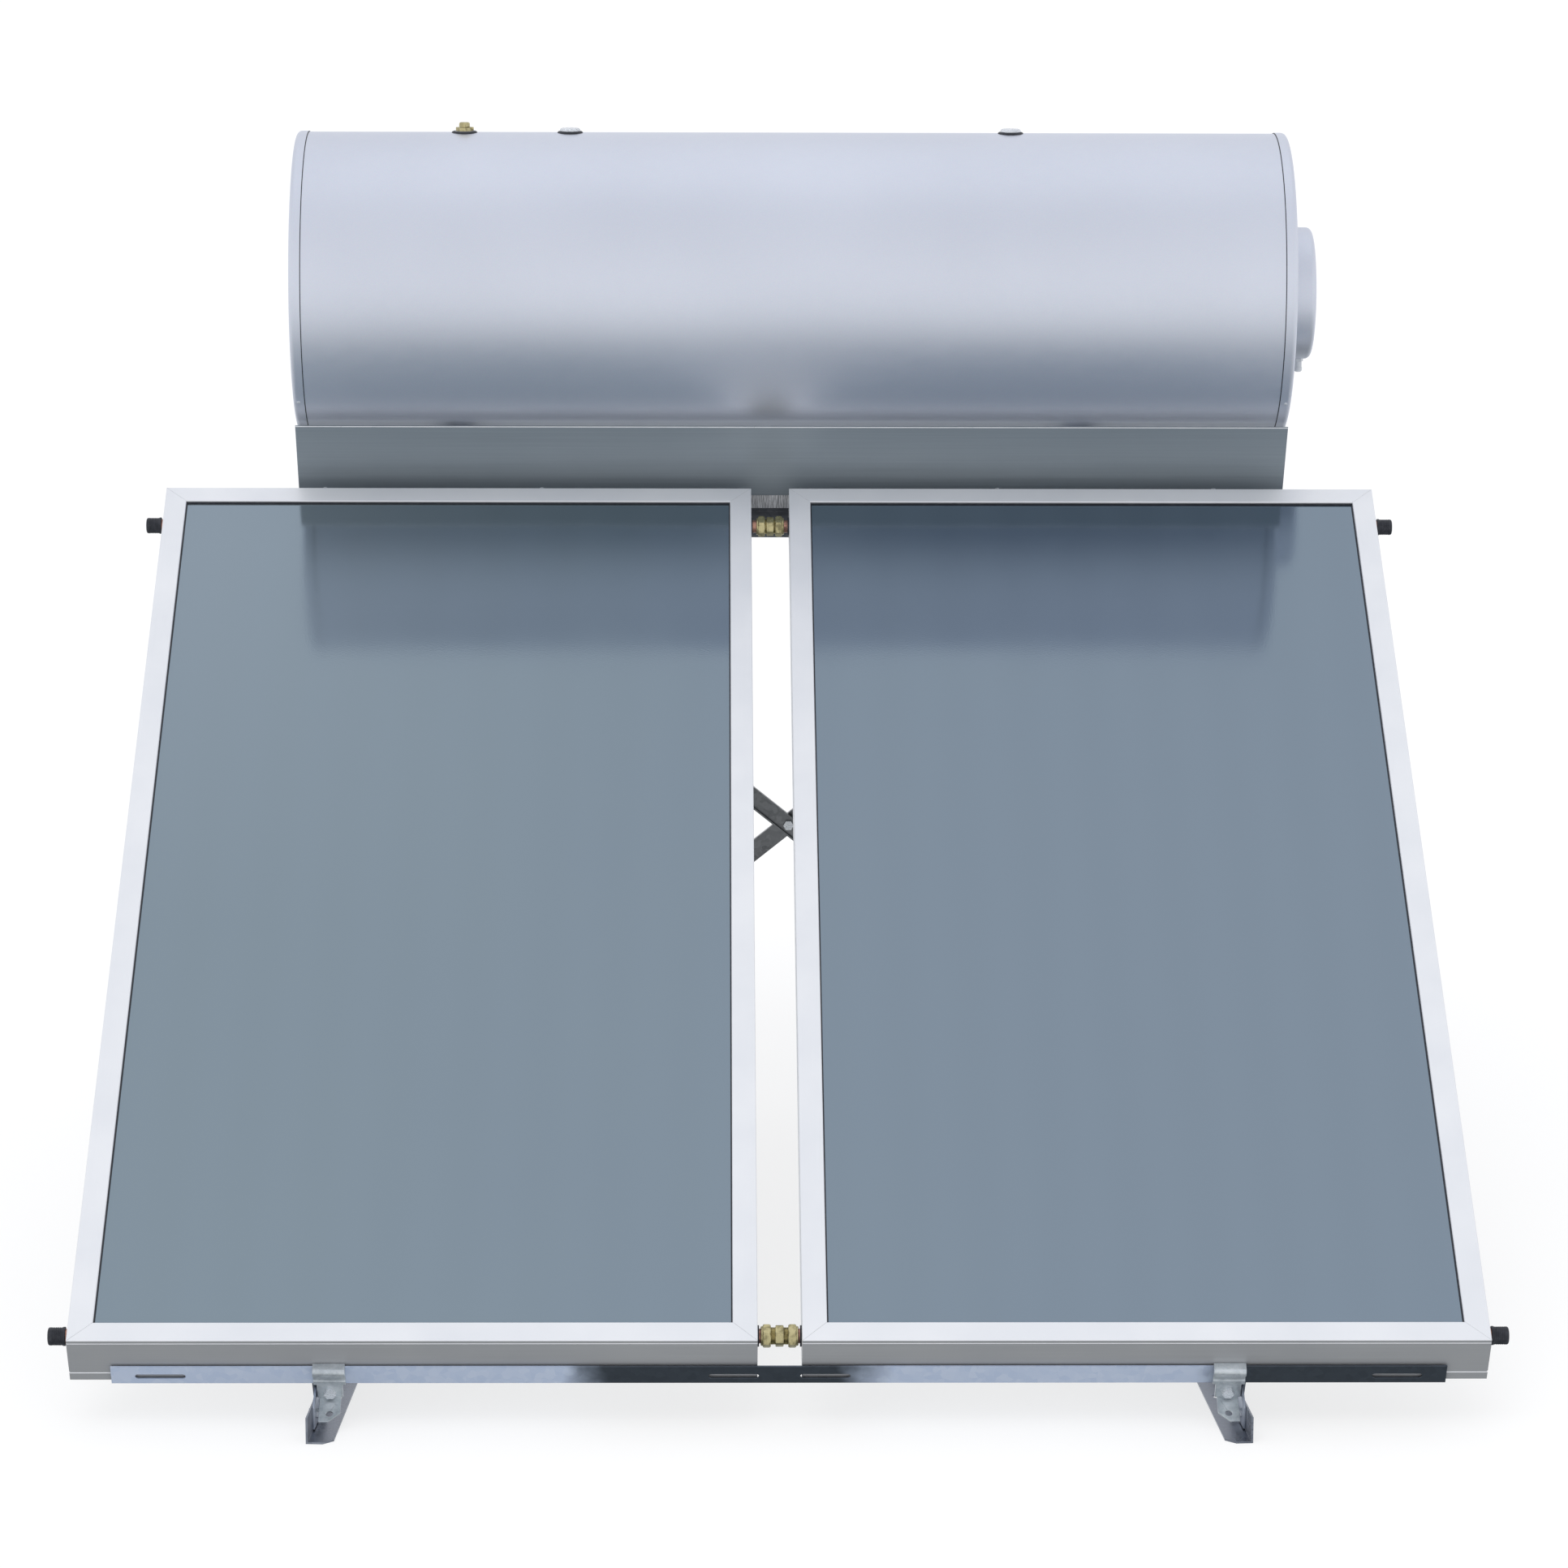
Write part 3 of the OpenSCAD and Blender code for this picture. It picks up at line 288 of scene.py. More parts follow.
def silver_paint():
    """Satin metallic paint of the tank: fine flake, faint orange peel and soft waves in the sheet."""
    m = Material("silver_paint", {"Metallic": 0.86, "Coat Weight": 0.05, "Coat Roughness": 0.3})
    place = m.place()
    flake = m.cells(place, 900)
    cloud = m.noise(place, 2.2, 2)
    colour = m.ramp(cloud, [(0.35, (0.69, 0.72, 0.80)), (0.65, (0.73, 0.76, 0.84))])
    m.plug("Base Color", m.mix(0.06, colour, flake, "OVERLAY"))
    m.plug("Roughness", m.remap(m.noise(place, 60, 4), 0.3, 0.7, 0.38, 0.44))
    waves = m.noise(m.place((0.5, 1, 1)), 3.0, 1)
    normal = m.bump(waves, 0.8 * MM)
    m.plug("Normal", m.bump(m.noise(place, 420, 2), 0.04 * MM, 1.0, normal))
    return m.material


def frame_aluminium():
    """Anodised extrusion: fine lines along each bar, turning at the mitres, and painted shade on the
    undersides.
    """
    m = Material("frame_aluminium", {"Metallic": 0.55})
    slope = m.place(slope=True)
    split = m.node("ShaderNodeSeparateXYZ", {0: slope})
    across = m.maths("ABSOLUTE", split.outputs["X"])
    half_length = COLLECTOR_LENGTH / 2
    from_middle_x = m.maths("ABSOLUTE", m.maths("SUBTRACT", across, COLLECTOR_MIDDLE_X))
    from_middle_s = m.maths("ABSOLUTE", m.maths("SUBTRACT", split.outputs["Y"], half_length))
    room_x = m.maths("SUBTRACT", COLLECTOR_WIDTH / 2, from_middle_x)
    room_s = m.maths("SUBTRACT", half_length, from_middle_s)
    is_end_bar = m.maths("LESS_THAN", room_s, room_x)
    along_s = m.noise(m.place((900, 4, 900), slope=True), 1.0, 3)
    along_x = m.noise(m.place((4, 900, 900), slope=True), 1.0, 3)
    lines = m.mix(is_end_bar, along_s, along_x)
    cloud = m.noise(m.place(), 7, 3)
    tint = m.ramp(cloud, [(0.3, (0.80, 0.815, 0.84)), (0.7, (0.86, 0.87, 0.885))])
    # Painted shade: faces that turn downwards get a darker colour, as if in the shade of the lip above
    # them.
    normal = m.node("ShaderNodeNewGeometry").outputs["Normal"]
    up = m.node("ShaderNodeSeparateXYZ", {0: normal}).outputs["Z"]
    shaded = m.mix(m.remap(up, -0.35, -0.05), (0.50, 0.505, 0.51), (1, 1, 1))
    tint = m.mix(1.0, tint, shaded, "MULTIPLY")
    m.plug("Base Color", m.mix(0.10, tint, lines, "OVERLAY"))
    m.plug("Roughness", m.remap(lines, 0.3, 0.7, 0.40, 0.48))
    m.plug("Normal", m.bump(lines, 0.02 * MM, 1.0, m.rounded(0.6 * MM)))
    return m.material


def solar_glass():
    """Prismatic glass over the dark absorber: greener to the left, bluer to the right."""
    fin_radians_per_metre = 56
    m = Material("solar_glass", {"IOR": 3.6, "Specular Tint": (0.70, 0.86, 1.0, 1)})
    slope = m.place(slope=True)
    split = m.node("ShaderNodeSeparateXYZ", {0: slope})
    cloud = m.noise(m.place((1.2, 0.7, 1), slope=True), 1.6, 3, 0.55)
    drift = m.maths("ADD", split.outputs["X"], m.maths("MULTIPLY", cloud, 1.2))
    side = m.remap(drift, -0.3, 1.1, smooth=True)
    body = m.mix(side, (0.030, 0.040, 0.036), (0.012, 0.018, 0.030))
    # Lighter grey towards the top left.
    to_left = m.remap(split.outputs["X"], -0.30, -0.95)
    to_top = m.remap(split.outputs["Y"], 0.90, 1.85)
    top_left_lighter = m.maths("MULTIPLY", m.maths("MULTIPLY", to_left, to_top), 0.6)
    body = m.mix(top_left_lighter, body, (0.105, 0.115, 0.125))
    fins = m.maths("SINE", m.maths("MULTIPLY", split.outputs["X"], fin_radians_per_metre))
    m.plug("Base Color", m.mix(m.remap(fins, -1, 1, 0.0, 0.06), body, (0.075, 0.095, 0.125)))
    m.plug("Roughness", m.remap(m.noise(slope, 5, 3), 0.3, 0.7, 0.09, 0.13))
    prisms = m.cells(slope, 420, "Distance")
    m.plug("Normal", m.bump(prisms, 0.05 * MM, 0.5, m.bump(m.noise(slope, 2.5, 1), 0.8 * MM)))
    return m.material


def galvanised(name, dark, light, roughness=0.34, spangle=55):
    """Hot-dip zinc: crystal spangle, broad light and dark zones, a few scuffs and soft waves."""
    m = Material(name, {"Metallic": 1.0})
    place = m.place()
    wander = m.node("ShaderNodeTexNoise", {"Vector": place, "Scale": 30})
    warped = m.mix(0.10, place, wander.outputs["Color"])
    crystal = m.crystals(warped, spangle)
    zones = m.remap(m.noise(place, 2.6, 2, 0.4), 0.36, 0.64, smooth=True)
    fine = m.noise(place, 14, 4, 0.6)
    grain = m.maths("ADD", m.maths("MULTIPLY", crystal, 0.26), m.maths("MULTIPLY", fine, 0.34))
    tone = m.maths("ADD", grain, m.maths("MULTIPLY", zones, 0.42))
    colour = m.ramp(tone, [(0.12, dark), (0.88, light)])
    scuff = m.remap(m.noise(m.place((1, 1, 7)), 38, 5, 0.7), 0.62, 0.78, 0.0, 0.3)
    m.plug("Base Color", m.mix(scuff, colour, light))
    m.plug("Roughness", m.remap(tone, 0.2, 0.9, roughness - 0.08, roughness + 0.10))
    normal = m.bump(m.noise(place, 5, 1), 1.2 * MM, 1.0, m.rounded(0.8 * MM))
    m.plug("Normal", m.bump(crystal, 0.02 * MM, 1.0, normal))
    return m.material


def rail_sheet():
    """Galvanised rail with painted light and shade: broad bright and dark stretches placed along it.
    """
    m = Material("rail_sheet", {})
    place = m.place()
    x = m.node("ShaderNodeSeparateXYZ", {0: place}).outputs["X"]
    wander = m.remap(m.noise(place, 14, 3), 0, 1, -0.05, 0.05)
    along = m.remap(m.maths("ADD", x, wander), -1, 1)
    # Painted light and shade: bright stretches stand for lit zinc, dark ones for shade and dark
    # reflections, and the metal is more mirror-like where it is dark.
    light = (0.50, 0.58, 0.73)
    dark = (0.13, 0.15, 0.18)
    stops = [(0.0, light), (0.34, light), (0.37, dark), (0.54, dark), (0.58, light)]
    stops += [(0.81, light), (0.84, dark), (1.0, dark)]
    rail_painted_light_shade = m.ramp(along, stops)
    crystal = m.crystals(place, 90)
    contrast = m.mix(crystal, (0.2, 0.2, 0.2), (0.8, 0.8, 0.8))
    grain = m.mix(0.16, (0.5, 0.5, 0.5), contrast)
    m.plug("Base Color", m.mix(0.7, rail_painted_light_shade, grain, "OVERLAY"))
    brightness = m.node("ShaderNodeSeparateColor", {0: rail_painted_light_shade}).outputs[0]
    m.plug("Metallic", m.remap(brightness, dark[0], light[0], 0.95, 0.35))
    m.plug("Roughness", m.remap(brightness, dark[0], light[0], 0.30, 0.42))
    m.plug("Normal", m.bump(crystal, 0.03 * MM, 1.0, m.rounded(0.8 * MM)))
    return m.material


def bright_zinc(name, dark, light, metallic):
    """Light zinc plating with faint cloudy patches and fine crystals."""
    m = Material(name, {"Metallic": metallic})
    place = m.place()
    cloud = m.noise(place, 26, 4, 0.6)
    grain = m.mix(m.crystals(place, 260), (0.2, 0.2, 0.2), (0.8, 0.8, 0.8))
    colour = m.ramp(cloud, [(0.3, dark), (0.7, light)])
    m.plug("Base Color", m.mix(0.15, colour, grain, "OVERLAY"))
    m.plug("Roughness", m.remap(cloud, 0.3, 0.7, 0.26, 0.40))
    m.plug("Normal", m.bump(cloud, 0.2 * MM, 0.6, m.rounded(0.8 * MM)))
    return m.material


def grained_strip_painted_light():
    """Sealing strip with a coarse upright grain; its light colour is partly painted light, kept bright
    although the strip lies in the flashing's shadow.
    """
    m = Material("grained_strip_painted_light", {})
    grain = m.noise(m.place((620, 40, 40)), 1.0, 3, 0.7)
    # Painted light: the light end of this ramp keeps the strip bright in the flashing's shadow.
    m.plug("Base Color", m.ramp(grain, [(0.38, (0.34, 0.345, 0.36)), (0.62, (0.92, 0.93, 0.95))]))
    m.plug("Roughness", m.remap(grain, 0.3, 0.7, 0.5, 0.7))
    m.plug("Normal", m.bump(grain, 0.6 * MM, 0.8))
    return m.material


def satin_sheet():
    """Plain satin sheet of the flashing: even grey, faint rolling lines, slight oil-canning."""
    m = Material("satin_sheet", {"Metallic": 0.25})
    place = m.place()
    lines = m.noise(m.place((3, 260, 260), slope=True), 1.0, 3)
    cloud = m.noise(place, 3, 3)
    colour = m.ramp(cloud, [(0.3, (0.265, 0.308, 0.342)), (0.7, (0.292, 0.335, 0.37))])
    m.plug("Base Color", m.mix(0.10, colour, lines, "OVERLAY"))
    m.plug("Roughness", m.remap(lines, 0.3, 0.7, 0.42, 0.50))
    normal = m.bump(m.noise(m.place((0.6, 1, 1)), 2.2, 1), 1.2 * MM, 1.0, m.rounded(0.8 * MM))
    m.plug("Normal", m.bump(lines, 0.02 * MM, 1.0, normal))
    return m.material


def rubbed_zinc():
    """Zinc-plated hardware: bright, faintly blue, with fine scratches."""
    m = Material("zinc_plated_steel", {"Metallic": 0.7})
    place = m.place()
    cloud = m.noise(place, 40, 4, 0.6)
    scratch = m.noise(m.place((1, 1, 12)), 160, 3)
    colour = m.ramp(cloud, [(0.3, (0.66, 0.69, 0.72)), (0.7, (0.88, 0.90, 0.93))])
    m.plug("Base Color", m.mix(0.2, colour, scratch, "OVERLAY"))
    m.plug("Roughness", m.remap(scratch, 0.3, 0.7, 0.22, 0.38))
    m.plug("Normal", m.bump(scratch, 0.04 * MM, 0.6, m.rounded(0.5 * MM)))
    return m.material


def tarnished(name, fresh, dull, roughness):
    """Brass or copper: fresh metal with duller patches and turning marks."""
    m = Material(name, {"Metallic": 1.0})
    place = m.place()
    patches = m.remap(m.noise(place, 90, 5, 0.65), 0.42, 0.68, smooth=True)
    marks = m.noise(m.place((60, 2, 2)), 40, 3)
    m.plug("Base Color", m.mix(0.25, m.mix(patches, fresh, dull), marks, "OVERLAY"))
    m.plug("Roughness", m.remap(patches, 0, 1, roughness, roughness + 0.22))
    m.plug("Normal", m.bump(marks, 0.05 * MM, 0.7, m.rounded(0.4 * MM)))
    return m.material


def black_rubber():
    """Matt rubber with a little dust on it."""
    m = Material("black_rubber", {"Specular IOR Level": 0.45})
    place = m.place()
    dust = m.remap(m.noise(place, 120, 5, 0.65), 0.45, 0.8)
    m.plug("Base Color", m.mix(dust, (0.012, 0.014, 0.020), (0.045, 0.048, 0.058)))
    m.plug("Roughness", m.remap(dust, 0, 1, 0.42, 0.68))
    m.plug("Normal", m.bump(m.noise(place, 900, 2), 0.06 * MM, 0.8, m.rounded(0.6 * MM)))
    return m.material


def moulded(name, dark, light, roughness):
    """Moulded plastic with a fine spark-eroded grain."""
    m = Material(name, {})
    place = m.place()
    cloud = m.noise(place, 30, 3)
    m.plug("Base Color", m.mix(cloud, dark, light))
    m.plug("Roughness", m.remap(cloud, 0.3, 0.7, roughness - 0.06, roughness + 0.06))
    m.plug("Normal", m.bump(m.cells(place, 1400, "Distance"), 0.05 * MM, 0.6, m.rounded(0.5 * MM)))
    return m.material


def fibrous(name, dark, light, scale):
    """Mineral wool or foam: open, matt and uneven."""
    m = Material(name, {"Roughness": 0.95})
    place = m.place()
    fibre = m.noise(place, scale, 8, 0.7, 0.8)
    m.plug("Base Color", m.mix(m.remap(fibre, 0.3, 0.7), dark, light))
    m.plug("Normal", m.bump(fibre, 1.5 * MM, 0.8))
    return m.material


def back_sheet():
    """Embossed aluminium-zinc sheet, with a hammered pattern."""
    m = Material("back_sheet_metal", {"Metallic": 1.0})
    place = m.place(slope=True)
    dimples = m.cells(place, 180, "Distance")
    cloud = m.noise(place, 5, 4, 0.6)
    m.plug("Base Color", m.ramp(cloud, [(0.3, (0.55, 0.57, 0.59)), (0.7, (0.70, 0.72, 0.74))]))
    m.plug("Roughness", m.remap(cloud, 0.3, 0.7, 0.36, 0.48))
    m.plug("Normal", m.bump(dimples, 0.6 * MM, 0.6))
    return m.material


def selective_coating():
    """Dark blue absorber coating, faintly drawn along the slope."""
    m = Material("selective_coating", {"Metallic": 0.6})
    place = m.place(slope=True)
    cloud = m.noise(place, 9, 4)
    m.plug("Base Color", m.mix(cloud, (0.012, 0.018, 0.045), (0.022, 0.030, 0.070)))
    m.plug("Roughness", m.remap(cloud, 0.3, 0.7, 0.28, 0.42))
    m.plug("Normal", m.bump(m.noise(m.place((300, 6, 300), slope=True), 1, 2), 0.05 * MM))
    return m.material


def enamel():
    """Glossy blue vitreous enamel with lighter specks."""
    m = Material("enamelled_steel", {"Coat Weight": 0.5, "Coat Roughness": 0.1})
    place = m.place()
    speck = m.remap(m.noise(place, 300, 3), 0.6, 0.7)
    m.plug("Base Color", m.mix(speck, (0.03, 0.07, 0.20), (0.09, 0.15, 0.32)))
    m.plug("Roughness", m.remap(m.noise(place, 14, 3), 0.3, 0.7, 0.18, 0.3))
    m.plug("Normal", m.bump(m.noise(place, 130, 2), 0.1 * MM))
    return m.material


def brushed_steel(name, dark, light, roughness):
    """Bare metal with fine lines along X."""
    m = Material(name, {"Metallic": 1.0})
    lines = m.noise(m.place((6, 220, 220)), 1.0, 4)
    cloud = m.noise(m.place(), 18, 4, 0.6)
    m.plug("Base Color", m.mix(0.25, m.mix(cloud, dark, light), lines, "OVERLAY"))
    m.plug("Roughness", m.remap(lines, 0.3, 0.7, roughness - 0.08, roughness + 0.08))
    m.plug("Normal", m.bump(lines, 0.04 * MM, 0.8, m.rounded(0.6 * MM)))
    return m.material


MATERIALS = {
    "silver_paint": silver_paint(),
    "frame_aluminium": frame_aluminium(),
    "solar_glass": solar_glass(),
    "black_rubber": black_rubber(),
    "selective_coating": selective_coating(),
    "copper": tarnished("copper", (0.50, 0.27, 0.20), (0.26, 0.15, 0.12), 0.28),
    "brass": tarnished("brass", (0.60, 0.53, 0.29), (0.32, 0.28, 0.15), 0.26),
    "mineral_wool": fibrous("mineral_wool", (0.35, 0.29, 0.14), (0.66, 0.56, 0.30), 260),
    "foam": fibrous("foam", (0.60, 0.52, 0.28), (0.80, 0.72, 0.46), 420),
    "back_sheet_metal": back_sheet(),
    "galvanised_steel": galvanised("galvanised_steel", (0.38, 0.42, 0.49), (0.70, 0.75, 0.84)),
    "zinc_plated_steel": rubbed_zinc(),
    "enamelled_steel": enamel(),
    "plain_steel": brushed_steel("plain_steel", (0.40, 0.40, 0.41), (0.56, 0.56, 0.57), 0.38),
    "magnesium": brushed_steel("magnesium", (0.46, 0.47, 0.48), (0.62, 0.63, 0.64), 0.5),
    "white_plastic": moulded("white_plastic", (0.70, 0.70, 0.67), (0.78, 0.78, 0.75), 0.4),
    "dark_plastic": moulded("dark_plastic", (0.014, 0.015, 0.018), (0.026, 0.027, 0.030), 0.36),
    "grey_plastic": moulded("grey_plastic", (0.56, 0.59, 0.62), (0.66, 0.69, 0.72), 0.38),
}

# Sheet and section that look different from the rest of the galvanised steel. The darker zinc of the
# beams, braces and upper rail is painted shade, the light zinc of the hem a painted highlight, and the
# strip's light colour partly painted light.
CLIPS = bright_zinc("clip_zinc", (0.38, 0.42, 0.45), (0.66, 0.71, 0.74), 0.7)
# Painted shade: a darker copy of the galvanised steel for the beams and legs.
SHADED_BEAMS = galvanised("beam_zinc_painted_shade", (0.15, 0.165, 0.20), (0.36, 0.385, 0.44), 0.32, 70)
# Painted shade: a still darker copy of the galvanised steel for the braces under the collectors.
SHADED_BRACES = galvanised("brace_zinc_painted_shade", (0.05, 0.052, 0.058), (0.30, 0.305, 0.31), 0.28, 80)
# Painted highlight: light, barely metallic zinc that paints the bright line along the flashing's top
# edge.
HEM_HIGHLIGHT = bright_zinc("hem_painted_highlight", (0.80, 0.82, 0.84), (0.94, 0.95, 0.96), 0.15)
# Painted light: the strip's light colour keeps it bright inside the flashing's shadow.
LIT_STRIP = grained_strip_painted_light()
OWN_MATERIALS = {
    "flashing": satin_sheet(),
    "lower_rail": rail_sheet(),
    # Painted shade: a darker copy of the galvanised steel for the upper rail, dark as if in shade
    # behind the couplings.
    "upper_rail": galvanised("shaded_zinc", (0.12, 0.125, 0.14), (0.29, 0.30, 0.32), 0.4, 60),
    "rail_clamps": CLIPS,
    "tie_down_brackets": CLIPS,
    "front_brace": SHADED_BRACES,
    "back_brace": SHADED_BRACES,
}
# The base beams, sloping beams and rear legs take the painted-shade zinc.
for side_name in ("left", "right"):
    for member in ("base_beam", "sloping_beam", "rear_leg"):
        OWN_MATERIALS[f"{side_name}_{member}"] = SHADED_BEAMS

SMALL_STEEL = [
    "frame_bolts",
    "flange_bolts",
    "relief_valve_body",
    "rail_clamps",
    "tie_down_brackets",
]


def dress_cad_nodes():
    """Each CAD node gets its own material, or else the finished one named as its slot."""
    for name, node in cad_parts.items():
        for slot in node.material_slots:
            finish = MATERIALS[slot.material.name.split(".")[0]]
            slot.material = OWN_MATERIALS.get(name, finish)


def soften_edges(names, width):
    """Small rounds on the edges of CAD nodes."""
    for name in names:
        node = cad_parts[name]
        weld = node.modifiers.new("weld", "WELD")
        weld.merge_threshold = 0.02 * MM
        bevel = node.modifiers.new("edges", "BEVEL")
        bevel.width = width
        bevel.segments = 2
        bevel.limit_method = "ANGLE"
        bevel.angle_limit = SHARP
        node.modifiers.new("normals", "WEIGHTED_NORMAL")


# ---- Shapes for the detail pieces ----


def revolved(outline, across_flats=None, bore=0.0, steps=48):
    """Rings about z through (z, r) points.

    The outside is cut to a hexagon where across_flats is given. A bore goes right through.
    """
    corner = math.pi / 3

    def radius(r, angle):
        if across_flats is None:
            return r
        off = (angle + corner / 2) % corner - corner / 2
        return min(r, across_flats / 2 / math.cos(off))

    rings = [(z, r, True) for z, r in outline]
    if bore:
        rings += [(outline[-1][0], bore, False), (outline[0][0], bore, False)]
    points = []
    for z, r, cut in rings:
        for i in range(steps):
            angle = 2 * math.pi * i / steps
            reach = radius(r, angle) if cut else r
            points.append(Vector((reach * math.cos(angle), reach * math.sin(angle), z)))
    faces = []
    count = len(rings)
    for ring in range(count if bore else count - 1):
        a = ring * steps
        b = (ring + 1) % count * steps
        for i in range(steps):
            j = (i + 1) % steps
            faces.append((a + i, a + j, b + j, b + i))
    if not bore:
        faces.append(tuple(reversed(range(steps))))
        faces.append(tuple(range((count - 1) * steps, count * steps)))
    return points, faces


def half_round(length, width, height):
    """Bead along x with its flat side down, tapering into the sheet at both ends."""
    steps = 10
    end = length / 2
    taper = width
    stations = [(-end, 0.05), (-end + taper / 2, 0.7), (-end + taper, 1.0)]
    stations += [(-x, full) for x, full in reversed(stations)]
    points = []
    for x, full in stations:
        for i in range(steps + 1):
            angle = math.pi * i / steps
            y = width / 2 * full * math.cos(angle)
            points.append(Vector((x, y, height * full * math.sin(angle))))
    row = steps + 1
    faces = []
    for k in range(len(stations) - 1):
        for i in range(steps):
            a = k * row + i
            faces.append((a, a + 1, a + row + 1, a + row))
        faces.append((k * row, (k + 1) * row, (k + 1) * row + steps, k * row + steps))
    faces.append(tuple(reversed(range(row))))
    faces.append(tuple(range((len(stations) - 1) * row, len(stations) * row)))
    return points, faces


def thread(start, end, crest, pitch, depth):
    """Outline of a threaded length as fine V grooves."""
    outline = []
    turns = round((end - start) / pitch)
    for i in range(turns):
        z = start + i * pitch
        outline += [(z, crest - depth), (z + 0.4 * pitch, crest), (z + 0.6 * pitch, crest)]
    return outline + [(end, crest - depth)]


def facing(point, direction):
    """Places a shape at point with its z along direction."""
    turn = Vector(direction).to_track_quat("Z", "Y").to_matrix().to_4x4()
    return Matrix.Translation(point) @ turn


def along_x(point, normal):
    """Places a shape at point with its x along X and its z along normal."""
    across = Vector((1, 0, 0))
    side = normal.cross(across)
    turn = Matrix((across, side, normal)).transposed().to_4x4()
    return Matrix.Translation(point) @ turn


def slope_box(node):
    """Lowest and highest corner of a CAD node in the collectors' own frame."""
    points = [TO_SLOPE @ vertex.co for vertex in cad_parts[node].data.vertices]
    low = Vector(min(point[i] for point in points) for i in range(3))
    high = Vector(max(point[i] for point in points) for i in range(3))
    return low, high


def make_piece(name, shapes, slot, body="stand", material=None):
    """One piece from (shape, matrix) pairs, riding on a CAD body."""
    points = []
    faces = []
    for (shape_points, shape_faces), matrix in shapes:
        start = len(points)
        points += [matrix @ point for point in shape_points]
        faces += [tuple(start + i for i in face) for face in shape_faces]
    mesh = bpy.data.meshes.new(name)
    mesh.from_pydata(points, [], faces)
    shell = bmesh.new()
    shell.from_mesh(mesh)
    bmesh.ops.recalc_face_normals(shell, faces=shell.faces)
    shell.to_mesh(mesh)
    shell.free()
    mesh.shade_smooth()
    mesh.set_sharp_from_angle(angle=SHARP)
    mesh.materials.append(material or MATERIALS[slot])
    piece = bpy.data.objects.new(name, mesh)
    bpy.context.scene.collection.objects.link(piece)
    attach(piece, body)
    return piece


# ---- Detail pieces ----


def coupling_body(half):
    """Outline of a coupling's body: threaded on both sides of a chamfered hexagon."""
    neck = 12.6 * MM
    crest = 13.2 * MM
    pitch = 1.4 * MM
    groove = 0.9 * MM
    hexagon = 6 * MM
    shoulder = [(hexagon, 13.6 * MM), (hexagon, 15.6 * MM), (hexagon - 1 * MM, 16.9 * MM)]
    outline = [(-half, neck)]
    outline += thread(-half + 0.5 * MM, -hexagon, crest, pitch, groove)
    outline += [(-z, r) for z, r in shoulder]
    outline += reversed(shoulder)
    outline += thread(hexagon, half - 0.5 * MM, crest, pitch, groove)
    return outline + [(half, neck)]


def make_couplings():
    """Brass compression couplings: two chamfered nuts on a threaded body with a hexagon."""
    pipe = 11.05 * MM
    nut = [(-6, 15.8), (-5.4, 16.6), (-4.4, 17.6), (-3.6, 18.3), (4, 18.3), (4.8, 17.6)]
    nut += [(5.6, 16.6), (6, 15.6), (6.2, 14.6), (8.2, 14.6), (9, 13.8)]
    nut = [(z * MM, r * MM) for z, r in nut]
    nuts = []
    for name in ("top_coupling", "bottom_coupling"):
        node = name + "_body"
        low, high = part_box(node)
        half = (high.x - low.x) / 2
        centre = (low + high) / 2
        shape = revolved(coupling_body(half), 29 * MM, pipe)
        piece = make_piece(name, [(shape, facing(centre, (1, 0, 0)))], "brass")
        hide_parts(node)
        for side in (-1, 1):
            place = facing(centre + Vector((side * half, 0, 0)), (side, 0, 0))
            nuts.append((revolved(nut, 32 * MM, pipe), place))
    piece = make_piece("compression_nuts", nuts, "brass")
    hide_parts("coupling_nuts")


def cap_outline(length, outer):
    """Outline of a header cap: its bore, the lip at the mouth, five grooves, the closed end."""
    bore = 11.06 * MM
    depth = 22.8 * MM
    chamfer = 0.8 * MM
    side = outer - 0.8 * MM
    floor = side - 0.5 * MM
    outline = [(depth, 1 * MM), (depth, bore), (chamfer, bore), (0, bore + chamfer)]
    outline += [(0, side), (0.4 * MM, outer), (3.6 * MM, outer), (4.2 * MM, side)]
    for i in range(5):
        z = (6 + 3 * i) * MM
        outline += [(z, side), (z + 0.5 * MM, floor), (z + 1.1 * MM, floor), (z + 1.6 * MM, side)]
    end = length - 0.1 * MM
    outline += [(length - 3 * MM, side), (length - 1.6 * MM, floor)]
    outline += [(length - 0.6 * MM, side - 1.6 * MM), (end, side - 3.2 * MM)]
    return outline + [(end, 5 * MM), (length - 0.8 * MM, 4.4 * MM)]


def make_caps():
    """Ribbed rubber caps over the outer header ends, hollow where the header goes in."""
    for name in ("top_left_cap", "top_right_cap", "bottom_left_cap", "bottom_right_cap"):
        low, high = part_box(name)
        side = 1 if low.x > 0 else -1
        centre = (low + high) / 2
        mouth = Vector((low.x if side > 0 else high.x, centre.y, centre.z))
        shape = revolved(cap_outline(high.x - low.x, (high.z - low.z) / 2))
        place = facing(mouth, (side, 0, 0))
        piece = make_piece(name + "_moulding", [(shape, place)], "black_rubber", name)
        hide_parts(name)


